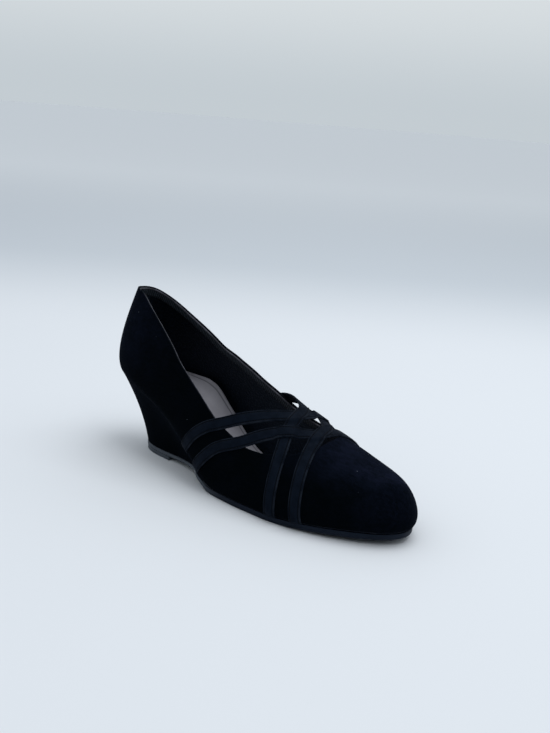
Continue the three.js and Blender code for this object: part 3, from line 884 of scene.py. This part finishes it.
def drawn_in(ring, by):
    """The loop moved inwards: each point along the bisector of its two sides."""
    ahead = unit(np.roll(ring[:, :2], -1, axis=0) - np.roll(ring[:, :2], 1, axis=0))
    moved = ring.copy()
    moved[:, 0] -= ahead[:, 1] * by
    moved[:, 1] += ahead[:, 0] * by
    return moved


def cap(ring, n, ribs):
    """The flat between the two edges of a loop: straight ribs from near to far."""
    near = ring[:n]
    if len(ring) == 2 * n - 2:
        far = np.concatenate([ring[:1], ring[: n - 2 : -1]])
    else:
        far = np.concatenate([ring[:1], ring[: n + ribs - 2 : -1]])
    made = near[:, None] + (far - near)[:, None] * np.linspace(0, 1, ribs + 1)[None, :, None]
    if len(ring) != 2 * n - 2:
        made[-1] = ring[n - 1 : n + ribs]
    return made


def wedge_ring(v, stations, ribs):
    """One level of the wedge: the foot's outline and the feather line mixed by a flare that starts steep."""
    flare = FLARE_START * v + (1 - FLARE_START) * v * v
    sides = []
    for side in (-1, 1):
        foot = sole_edge(side, stations)
        foot = np.stack([foot[:, 0] + HEEL_SET * np.cos(np.pi * stations), foot[:, 1] * HEEL_NARROW], -1)
        low = np.concatenate([foot, (top_at(foot[:, 0]) + GAP)[:, None]], 1)
        high = form(side, stations, 0.0, WALL)
        high[:, 2] = bed_at(share_of(stations)) - GAP
        mixed = low + (high - low) * flare
        mixed[:, 2] = low[:, 2] + (high[:, 2] - low[:, 2]) * v
        sides.append(mixed)
    return ring_of(sides[0], sides[1], ribs)


wedge_stations = np.linspace(0, 1, WEDGE_STATIONS) * float(station_of(WEDGE_SHARE))
levels = [wedge_ring(v, wedge_stations, RIBS) for v in np.linspace(0, 1, WEDGE_LEVELS)]
bottom_ring = drawn_in(levels[0], FOOT_TURN)
top_rings = [drawn_in(levels[-1], WEDGE_TURN * share) for share in (0.35, 1)]
levels[-1][:, 2] -= SEAM_DIPS[0]
top_rings[0][:, 2] -= SEAM_DIPS[1]
rings = [bottom_ring, *levels, *top_rings]
floor_cap = flip(cap(bottom_ring, WEDGE_STATIONS, RIBS))
top_cap = cap(top_rings[1], WEDGE_STATIONS, RIBS)
# Distance below the wedge's top edge, which greys the suede along the seam: wear and painted highlight.
climb = walled([np.abs(ring[:, 2] - levels[-1][:, 2]) for ring in rings])
foot_marks = [climb, np.full(floor_cap.shape[:2], FAR), np.zeros(top_cap.shape[:2])]
wedge_marks = {
    "foot": foot_marks,
    "rim": [np.full(g.shape, FAR) for g in foot_marks],
    "painted_toplight": [np.full(g.shape, WEDGE_PAINTED_LIGHT) for g in foot_marks],
}
wedge = make_piece("wedge_cover", [walled(rings), floor_cap, top_cap], "wedge", wedge_marks)
wedge.data.materials.append(suede)

# Insole. A thin board with a grey-mauve satin sock stuck over it, its edge pressed down, with one fine line
# creased round it. The foot's weight has dished it a little, and a soft pad lifts its inner edge at the arch.
INSOLE = 2
SOCK_ROUND = 0.7
SOCK_GREY = (0.27, 0.264, 0.30)
SOCK_LIGHT = (0.35, 0.342, 0.385)
SOCK_PAINTED_LIGHT = (0.66, 0.65, 0.71)
CREASE_PAINTED_SHADE = (0.04, 0.038, 0.046)
# The creased line's distance from the edge, its depth and half width, and the dish's depth and slope.
CREASE_IN = 2.3
CREASE_DEEP = 0.22
CREASE_HALF = 0.45
DISH = 0.6
DISH_SLOPE = 14
SOCK_STATIONS = 241
SOCK_RIBS = 120
SOCK_UNDER = 0.2
TURN_STEPS = 6
# How much steeper the marked distance from the edge grows at the two ends than at the sides.
END_STEEP = 1.2
TINY = 1e-6


def slab_piece(name, near, far, low, high, slot, node, turn_low, turn_high, ribs, dish=None, raised=0):
    """A slab between two edges: its underside, a rounded lower edge, the side, a rounded upper edge and the
    top, whose far edge may be raised. Marks keep the distance in from the edge, and 1 on the underside."""
    n = len(near)
    base = ring_of(np.column_stack([near, low]), np.column_stack([far, low]), ribs)
    over = ring_of(np.column_stack([near, high]), np.column_stack([far, high + raised]), ribs)
    rings = []
    for ring, turn, way in ((base, turn_low, 1), (over, turn_high, -1)):
        for angle in np.linspace(0, np.pi / 2, TURN_STEPS)[::-way]:
            level = drawn_in(ring, turn * (1 - np.cos(angle)))
            level[:, 2] += way * turn * (1 - np.sin(angle))
            rings.append(level)
    walls, under, top = walled(rings), flip(cap(rings[0], n, ribs)), cap(rings[-1], n, ribs)
    share = np.linspace(0, 1, ribs + 1)
    wide = np.linalg.norm(far - near, axis=1)[:, None]
    run = np.minimum(near[:, :1] - near[0, 0], near[-1, 0] - near[:, :1])
    inside = np.minimum(np.minimum(share, 1 - share)[None] * wide, np.maximum(run, 0) * END_STEEP)
    if dish is not None:
        top[..., 2] -= dish(top, inside)
    marks = {
        "inside": [np.zeros(walls.shape[:2]), inside, inside],
        "below": [np.zeros(walls.shape[:2]), np.ones(inside.shape), np.zeros(inside.shape)],
    }
    return make_piece(name, [walls, under, top], node, marks)


# Share of length, share of the pad's rise under the arch, along the inner edge.
ARCH_PAD = [
    (0.1, 0),
    (0.15, 0.16),
    (0.2, 0.5),
    (0.25, 0.92),
    (0.275, 1),
    (0.33, 0.62),
    (0.4, 0.16),
    (0.47, 0),
]
ARCH_RISE = 10.5
(pad_share,) = curves(ARCH_PAD)


def sock_dish(points, inside):
    """What the sock lies under its straight ribs: a shallow dish, a fine creased line near the edge, and below
    the pad's raised edge the difference of a straight rise and a square one."""
    crease = CREASE_DEEP * np.exp(-(((inside - CREASE_IN) / CREASE_HALF) ** 2))
    x = points[..., 0]
    s = station_of((x - SOCK_INSET) / (LENGTH - 2 * SOCK_INSET))
    outer, inner = (half_width(side, s) + TINY for side in (-1, 1))
    across = np.linspace(0, 1, points.shape[1])[None]
    middle = outer / (outer + inner)
    raised = np.clip((across - middle) / (1 - middle), 0, 1) ** 2
    return DISH * ease(inside, 0, DISH_SLOPE) + crease + ARCH_RISE * pad_share(x / LENGTH) * (across - raised)


sock_stations = np.linspace(0, 1, SOCK_STATIONS)
sock_share = share_of(sock_stations)
sock_x = SOCK_INSET + (LENGTH - 2 * SOCK_INSET) * sock_share
sock_sides = []
for side in (-1, 1):
    half = half_width(side, sock_stations) * (1 - SOCK_INSET / BALL_HALF)
    sock_sides.append(np.stack([sock_x, side * half], -1))
sock_low = bed_at(sock_share)
sock_pad = ARCH_RISE * pad_share(sock_x / LENGTH)
sock_ends = [*sock_sides, sock_low, sock_low + INSOLE]
sock_turns = (SOCK_UNDER, SOCK_ROUND)
insole = slab_piece(
    "insole_sock", *sock_ends, "insole_sock", "insole", *sock_turns, SOCK_RIBS, sock_dish, sock_pad
)
satin, tree, shader, place = finish(
    "grey_mauve_sock",
    specular_ior_level=0.5,
    sheen_weight=0.12,
    sheen_roughness=0.5,
    sheen_tint=(0.9, 0.88, 1),
)
fine_grain = put(tree, "Group", {"Place": place, "Scale": 1500}, node_tree=grain)
scuff = spread(tree, noise(tree, place, 34, 5, 0.6), 0.3, 0.72)
forward = put(tree, "SeparateXYZ", {"Vector": place}).outputs["X"]
colour = blend(tree, scuff, SOCK_GREY, SOCK_LIGHT)
# Towards the front the sock turns paler: painted light, as the back of the seat lies in the heel's shade.
colour = blend(tree, spread(tree, forward, -0.055, 0.0, 0, 0.75), colour, SOCK_PAINTED_LIGHT)
# Along the creased line the colour darkens: painted shade in the crease.
from_crease = maths(tree, "ABSOLUTE", maths(tree, "SUBTRACT", mark(tree, "inside"), CREASE_IN))
colour = blend(tree, spread(tree, from_crease, 0.7, 0.15, 0, 0.6), colour, CREASE_PAINTED_SHADE)
shine = spread(tree, fine_grain.outputs["Shade"], 0, 1, 0.52, 0.4)
feed(tree, shader, colour, shine, fine_grain.outputs["Height"], 0.00006, 0.5)
insole.data.materials.append(satin)

# Outsole. A moulded rubber sole glued under the wedge and the upper, thin in the waist and thicker from the ball
# on, with a satin black edge in front that turns grey at heel and waist, and a fine diamond tread below.
SOLE_RUBBER = (0.0018, 0.0032, 0.0072)
SOLE_DUST = (0.009, 0.013, 0.023)
REAR_GREY = (0.062, 0.073, 0.086)
REAR_GREY_DUST = (0.10, 0.114, 0.132)
SOLE_STATIONS = 301
SOLE_RIBS = 24
SOLE_TURNS = (0.5, 0.35)
SOLE_TREAD = 3.0
TREAD_EDGE = (4.5, 5.2)
sole_stations = np.linspace(0, 1, SOLE_STATIONS)
sole_sides = [sole_edge(side, sole_stations) for side in (-1, 1)]
sole_ends = [*sole_sides, under_at(sole_sides[0][:, 0]), top_at(sole_sides[0][:, 0])]
outsole = slab_piece("outsole_rubber", *sole_ends, "outsole_rubber", "outsole", *SOLE_TURNS, SOLE_RIBS)

dust, dust_in, dust_out = effect(
    "dust", {"Place": "Vector", "Scale": "Float", "Amount": "Float"}, {"Mask": "Float", "Height": "Float"}
)
film = noise(dust, dust_in["Place"], dust_in["Scale"], 6, 0.65)
grit = noise(dust, dust_in["Place"], 1700, 2)
mask = product(dust, spread(dust, film, 0.4, 0.7), dust_in["Amount"])
give(dust, dust_out["Mask"], product(dust, mask, spread(dust, grit, 0.3, 0.6, 0.5, 1)))
give(dust, dust_out["Height"], grit)


def rubber_finish(name, tread_pitch):
    """Satin rubber under a film of dust, black in front and grey at heel and waist. The underside has a
    diamond tread, where two slanting sets of waves cross, that stops short of the edge."""
    made, tree, shader, place = finish(name, specular_ior_level=0.2, specular_tint=(0.5, 0.68, 1))
    film = put(tree, "Group", {"Place": place, "Scale": 70, "Amount": 0.75}, node_tree=dust)
    xyz = put(tree, "SeparateXYZ", {"Vector": place})
    front = blend(tree, film.outputs["Mask"], SOLE_RUBBER, SOLE_DUST)
    rear = blend(tree, film.outputs["Mask"], REAR_GREY, REAR_GREY_DUST)
    colour = blend(tree, spread(tree, xyz.outputs["X"], -0.028, 0.012), rear, front)
    turn = 2 * math.pi / (tread_pitch * MM)
    waves = []
    for sign in (1, -1):
        slant = maths(tree, "MULTIPLY_ADD", xyz.outputs["Y"], float(sign), xyz.outputs["X"])
        waves.append(maths(tree, "SINE", product(tree, slant, turn)))
    diamond = spread(tree, product(tree, waves[0], waves[1]), -0.15, 0.25)
    field = product(tree, spread(tree, mark(tree, "inside"), *TREAD_EDGE), mark(tree, "below"))
    tread = product(tree, diamond, field)
    colour = blend(tree, product(tree, tread, 0.5), colour, REAR_GREY_DUST)
    height = maths(tree, "MULTIPLY_ADD", film.outputs["Height"], 0.12, tread)
    feed(tree, shader, colour, spread(tree, film.outputs["Mask"], 0, 1, 0.45, 0.75), height, 0.0004, 0.9)
    return made


outsole.data.materials.append(rubber_finish("satin_rubber", SOLE_TREAD))

# Heel lift. A separate flat of harder rubber nailed and glued under the heel end of the sole, square at its
# front, where a small dark step shows.
LIFT_FRONT = 58
LIFT_STATIONS = 81
LIFT_RIBS = 20
LIFT_TURNS = (0.4, 0.25)
LIFT_TREAD = 2.4
finer = np.linspace(0, 1, 401)
lift_end = float(finer[np.argmax(sole_edge(-1, finer)[:, 0] > LIFT_FRONT)])
lift_stations = np.linspace(0, 1, LIFT_STATIONS) * lift_end
lift_sides = []
for side in (-1, 1):
    outline = sole_edge(side, lift_stations)
    lift_sides.append(np.stack([outline[:, 0] + HEEL_SET, outline[:, 1] * HEEL_NARROW], -1))
lift_ends = [*lift_sides, np.zeros(LIFT_STATIONS), np.full(LIFT_STATIONS, LIFT)]
lift = slab_piece("heel_lift_rubber", *lift_ends, "lift_rubber", "heel_lift", *LIFT_TURNS, LIFT_RIBS)
lift.data.materials.append(rubber_finish("lift_rubber", LIFT_TREAD))

# Bands. Four slim bands of dark slate fabric, turned in at both edges and stitched, woven over and under
# one another across the instep; their ends are cut along the feather line and glued under the upper.
BAND = 8
BAND_THICK = 1.1
BAND_PITCH = 0.55
BAND_STEPS = 260
# From its partner's edge, where a band that passes over is at its full height and where it lies flat again.
LIFT_OVER = (0.7, 3.6)
# The stitched groove's distance from the edge and half width, then shares of the thickness: its depth, how much
# the middle stands up, and how low the rounded side ends.
GROOVE_IN = 1.15
GROOVE_HALF = 0.26
GROOVE_DEEP = 0.3
CROWN = 0.06
SIDE_LOW = 0.35
SIDE_ROUND = 0.45
# The middle line is followed this far past both ends, in this many steps.
PAST_ENDS = 14
FINE_STEPS = 700
PARTNER_STEPS = 241
BAND_DARK = (0.0010, 0.0028, 0.0066)
BAND_LIGHT = (0.0044, 0.0086, 0.0175)
BAND_RIM_HIGHLIGHT = (0.020, 0.026, 0.037)
GROOVE_PAINTED_SHADE = (0.0005, 0.0007, 0.0012)
# Share of length and station over the arch, 0 at the outer feather line and 2 at the inner one. A band of each
# pair starts on either side, at the same shares, and they part near the ridge.
REAR_ONE = [(0.359, 0), (0.39, 0.146), (0.436, 0.292), (0.508, 0.454), (0.58, 0.665), (0.63, 0.87)]
REAR_TWO = [(0.411, 0), (0.47, 0.217), (0.557, 0.394), (0.646, 0.677), (0.688, 0.81)]
FRONT_A1 = [(0.648, 1), (0.66, 1.2), (0.678, 1.45), (0.695, 1.7), (0.708, 2)]
FRONT_A2 = [(0.718, 0.936), (0.728, 1.05), (0.743, 1.29), (0.757, 1.51), (0.77, 1.7), (0.786, 2)]
FRONT_B1 = [(0.647, 1), (0.656, 0.75), (0.669, 0.549), (0.68, 0.297), (0.69, 0)]
FRONT_B2 = [(0.716, 1.064), (0.724, 0.93), (0.732, 0.711), (0.741, 0.489), (0.75, 0.303), (0.765, 0)]


def mirrored(rows):
    """The same path from the other side: each station taken from two."""
    return [(share, 2 - station) for share, station in rows]


# Each band, its path and the band that it passes over.
BANDS = {
    "strap_a1": (REAR_ONE + FRONT_A1, "strap_b2"),
    "strap_a2": (REAR_TWO + FRONT_A2, "strap_b1"),
    "strap_b1": (mirrored(REAR_ONE) + FRONT_B1, "strap_a1"),
    "strap_b2": (mirrored(REAR_TWO) + FRONT_B2, "strap_a2"),
}


def band_path(rows):
    """A band's middle line by length along it: smooth lines through its rows' stations, and its length."""
    path = np.array(rows, float).T
    path[0] = station_of(path[0])
    along = lengths_along(sheet(path[0], path[1], WALL))
    s, station = curve(along, path[0]), curve(along, path[1])

    def at(v):
        """The path's place at a length along it, which goes on straight past both ends, and its slope there."""
        inside = np.clip(v, 0, along[-1])
        ends = np.stack([s(inside), station(inside)], -1)
        slope = np.stack([line(inside + 0.5) - line(inside - 0.5) for line in (s, station)], -1)
        slope[(inside < 0.5) | (inside > along[-1] - 0.5)] *= 2
        return ends + slope * (v - inside)[..., None], slope

    return along[-1], at


def band_profile(across):
    """The band's thickness across it, as a share: slightly domed in the middle, a soft stitched groove a little
    in from each edge, a plump turned rim outside that, and a side that is a quarter circle."""
    side = BAND / 2 - np.abs(across)
    groove = GROOVE_DEEP * np.exp(-(((side - GROOVE_IN) / GROOVE_HALF) ** 2))
    round_side = np.sqrt(np.clip(1 - (1 - np.clip(side / SIDE_ROUND, 0, 1)) ** 2, 0, 1))
    crown = CROWN * (1 - (across / (BAND / 2)) ** 2)
    return (1 - CROWN + crown - groove) * (SIDE_LOW + (1 - SIDE_LOW) * round_side)


paths = {name: band_path(rows) for name, (rows, _) in BANDS.items()}
round_steps, groove_steps, flat_steps = (0, SIDE_ROUND, 5), (0.65, 1.65, 8), (2, BAND / 2, 6)
side_steps = np.concatenate([np.linspace(*steps) for steps in (round_steps, groove_steps, flat_steps)])
across_steps = np.concatenate([side_steps - BAND / 2, BAND / 2 - side_steps[-2::-1]])


def band_spots(name, across):
    """Points of a band along the feather line and over the arch. Each line along the band starts and ends where
    it meets the feather line, so that the ends are cut along that."""
    length, at = paths[name]
    v = np.linspace(-PAST_ENDS, length + PAST_ENDS, FINE_STEPS)
    middle, slope = at(v)
    step, _ = square_step(np.clip(middle[:, 0], 0, 1), np.clip(middle[:, 1], 0, 2), WALL, slope)
    spots, lengths = [], []
    for w in across:
        line = middle + step * w
        inside = np.flatnonzero((line[:, 1] >= 0) & (line[:, 1] <= 2))
        first, last = inside[0], inside[-1]
        ends = []
        for a, b in ((first, first - 1), (last, last + 1)):
            goal = np.clip(line[b, 1], 0, 2)
            ends.append(v[a] + (v[b] - v[a]) * (goal - line[a, 1]) / (line[b, 1] - line[a, 1]))
        where = np.linspace(ends[0], ends[1], BAND_STEPS + 1)
        spots.append(np.stack([np.interp(where, v, line[:, c]) for c in (0, 1)], -1))
        lengths.append(where)
    return np.stack(spots, 1), np.stack(lengths, 1)


def band_grid(name, across, rise):
    """A band's points at a height over its underside, raised where it passes over its partner."""
    spots, lengths = band_spots(name, across)
    length, at = paths[BANDS[name][1]]
    partner = sheet(*at(np.linspace(0, length, PARTNER_STEPS))[0].T, WALL)
    here = sheet(spots[..., 0], spots[..., 1], WALL)
    level = 1 - ease(nearest(here, partner, 2 * BAND) - BAND / 2, *LIFT_OVER)
    grow = WALL + GAP + level * (BAND_THICK + GAP) + rise
    return sheet(spots[..., 0], spots[..., 1], grow), lengths


def on_band(values):
    """Numbers of a band's top laid on all its grids: top, underside, both sides and both ends."""
    return [values, flip(values), values[:, [0, 0]], values[:, [-1, -1]], values[[0, 0]], values[[-1, -1]]]


band_cloth, tree, shader, place = finish(
    "slate_band_fabric",
    specular_ior_level=0.04,
    sheen_weight=0.02,
    sheen_roughness=0.35,
    sheen_tint=(0.7, 0.8, 1),
)
cloth = woven(tree, BAND_PITCH)
haze = noise(tree, place, 160, 4, 0.6)
amount = maths(tree, "MULTIPLY_ADD", cloth.outputs["Shade"], 0.55, spread(tree, haze, 0.3, 0.7, 0, 0.45))
colour = blend(tree, amount, BAND_DARK, BAND_LIGHT)
from_side = mark(tree, "side")
# In the stitched groove the colour darkens: painted shade.
from_groove = maths(tree, "ABSOLUTE", maths(tree, "SUBTRACT", from_side, GROOVE_IN))
colour = blend(tree, spread(tree, from_groove, 0.42, 0.1, 0, 0.85), colour, GROOVE_PAINTED_SHADE)
# Along the rounded edges the colour lightens in noisy patches: a painted highlight.
patchy = spread(tree, haze, 0.35, 0.65, 0.1, 1)
edge_highlight = product(tree, spread(tree, from_side, 0.8, 0.25, 0, 0.7), patchy)
colour = blend(tree, edge_highlight, colour, BAND_RIM_HIGHLIGHT)
feed(tree, shader, colour, spread(tree, amount, 0, 1, 0.78, 0.6), cloth.outputs["Height"], 0.00007, 0.6)

profile = band_profile(across_steps) * BAND_THICK
for name in BANDS:
    top, lengths = band_grid(name, across_steps, profile)
    low_edge = band_grid(name, across_steps, np.zeros(len(across_steps)))[0]
    side_a = np.stack([low_edge[:, 0], top[:, 0]], 1)
    side_b = np.stack([top[:, -1], low_edge[:, -1]], 1)
    start, stop = np.stack([low_edge[0], top[0]]), np.stack([top[-1], low_edge[-1]])
    wide = np.broadcast_to(across_steps, top.shape[:2])
    marks = {"across": on_band(wide), "along": on_band(lengths), "side": on_band(BAND / 2 - np.abs(wide))}
    grids = [top, flip(low_edge), side_a, side_b, start, stop]
    strap = make_piece(name + "_band", grids, name, marks)
    strap.data.materials.append(band_cloth)

# Band stitching. A fine row of dark thread, sunk in the groove along both edges of each band, that holds the
# turned edges down on the back.
# The stitches' pitch, their length and half the thread's thickness.
BAND_STITCH = (1.7, 1.2, 0.11)
groove_bed = float(band_profile(np.array(BAND / 2 - GROOVE_IN))) * BAND_THICK
band_rows = []
for name in BANDS:
    for w in (GROOVE_IN - BAND / 2, BAND / 2 - GROOVE_IN):
        rail, over = (band_grid(name, [w], groove_bed + more)[0][:, 0] for more in (0, 1))
        band_rows += stitch_row(rail, over - rail, *BAND_STITCH, 4, 5)
band_stitching = make_piece("band_stitching", band_rows)
band_stitching.data.materials.append(thread)

# Stage. A wide pale sheet of paper under one soft light: near white round the shoe, a greyer band of painted
# shade behind it and paler painted light far off, by the distance behind the shoe as the camera sees it.
EYE_AZIMUTH = 34.85
EYE_ELEVATION = 17.67
EYE_ROLL = 4.52
EYE_DISTANCE = 567.9
EYE_TARGET = (109.3, 33.3, 73.1)
FOCAL_PIXELS = 800
PHOTO_TALL = 733
SENSOR = 36
azimuth, elevation, roll = (math.radians(a) for a in (EYE_AZIMUTH, EYE_ELEVATION, EYE_ROLL))
level_back = np.array([math.sin(azimuth), -math.cos(azimuth), 0])
level_right = np.array([math.cos(azimuth), math.sin(azimuth), 0])
back = level_back * math.cos(elevation) + (0, 0, math.sin(elevation))
level_up = np.cross(back, level_right)
right = level_right * math.cos(roll) + level_up * math.sin(roll)
up = level_up * math.cos(roll) - level_right * math.sin(roll)
eye = (np.array(EYE_TARGET) + form_at + back * EYE_DISTANCE) * MM

PAPER_SIDES = 96
PAPER_RINGS = [0.02, 0.2, 0.5, 1, 2, 4, 9, 20]
PAPER_NEAR = (0.75, 0.782, 0.815)
PAPER_PAINTED_SHADE = (0.60, 0.645, 0.687)
PAPER_FAR_PAINTED_LIGHT = (0.775, 0.815, 0.845)
angles = np.linspace(0, 2 * np.pi, PAPER_SIDES + 1)[:-1]
disc = np.multiply.outer(PAPER_RINGS, np.stack([np.cos(angles), np.sin(angles), 0 * angles], -1))
number = np.arange(len(PAPER_RINGS) * PAPER_SIDES).reshape(-1, PAPER_SIDES)
wrapped = np.roll(number, -1, axis=1)
quads = np.stack([number[:-1], number[1:], wrapped[1:], wrapped[:-1]], -1).reshape(-1, 4)
paper_mesh = bpy.data.meshes.new("paper")
paper_mesh.from_pydata(disc.reshape(-1, 3).tolist(), [], [*quads.tolist(), number[0].tolist()])
paper_mesh.update()
stand("paper", paper_mesh)


def along_view(tree, vector, sign):
    """How far a vector reaches, on the level, away from the camera (sign 1) or towards it (sign -1)."""
    part = [product(tree, vector.outputs[i], -sign * float(level_back[i])) for i in (0, 1)]
    return maths(tree, "ADD", *part)


white, tree, shader, place = finish("pale_paper", specular_ior_level=0)
cloudy = noise(tree, place, 5, 2)
behind = along_view(tree, put(tree, "SeparateXYZ", {"Vector": place}), 1)
behind = maths(tree, "MULTIPLY_ADD", cloudy, 0.03, behind)
# Painted shade in a band behind the shoe, and painted light paler far off.
colour = blend(tree, spread(tree, behind, 0.36, 0.86), PAPER_NEAR, PAPER_PAINTED_SHADE)
colour = blend(tree, spread(tree, behind, 0.8, 2.6), colour, PAPER_FAR_PAINTED_LIGHT)
feed(tree, shader, colour, spread(tree, cloudy, 0, 1, 0.9, 1))
paper_mesh.materials.append(white)

# Room. What the camera sees of it is pale. What lights the shoe is dark on the camera's side, as in the photo,
# where the suede's near side is almost black.
SEEN_LOW = (0.55, 0.605, 0.645)
SEEN_HIGH = (0.69, 0.735, 0.76)
LIT_LOW = (0.47, 0.515, 0.56)
LIT_HIGH = (0.82, 0.855, 0.895)
LIT_BY_EYE = (0.10, 0.11, 0.12)
world = bpy.data.worlds.new("soft_room")
bpy.context.scene.world = world
world.use_nodes = True
sky = world.node_tree
aim = put(sky, "SeparateXYZ", {"Vector": put(sky, "TexCoord").outputs["Generated"]})
height = aim.outputs["Z"]
glow = blend(sky, spread(sky, height, 0.01, 0.16), SEEN_LOW, SEEN_HIGH)
toward = maths(sky, "MULTIPLY_ADD", height, -0.9, along_view(sky, aim, -1))
lit = blend(sky, spread(sky, height, 0.02, 0.5), LIT_LOW, LIT_HIGH)
lit = blend(sky, spread(sky, toward, -0.3, 0.4), lit, LIT_BY_EYE)
seen = put(sky, "LightPath").outputs["Is Camera Ray"]
give(sky, sky.nodes["Background"].inputs["Color"], blend(sky, seen, lit, glow))


def posed(x, y, z, place):
    """The matrix of an object with these axes at this place."""
    turned = np.eye(4)
    turned[:3] = np.stack([x, y, z, place], 1)
    return Matrix(turned.tolist())


def softbox(name, place, size, power):
    """A square soft light that faces the shoe."""
    lamp = bpy.data.lights.new(name, "AREA")
    lamp.size = size
    lamp.energy = power
    lamp.color = (0.97, 0.985, 1)
    z = unit(np.array(place))
    x = unit(np.cross((0, 1, 0), z))
    stand(name, lamp).matrix_world = posed(x, np.cross(z, x), z, place)


softbox("overhead", (0.22, 0.3, 1.4), 1.0, 8)

lens = bpy.data.cameras.new("eye")
lens.sensor_width = SENSOR
lens.lens = FOCAL_PIXELS / PHOTO_TALL * SENSOR
camera = stand("eye", lens)
camera.matrix_world = posed(right, up, back, eye)
bpy.context.scene.camera = camera
bpy.context.scene.view_settings.view_transform = "Standard"
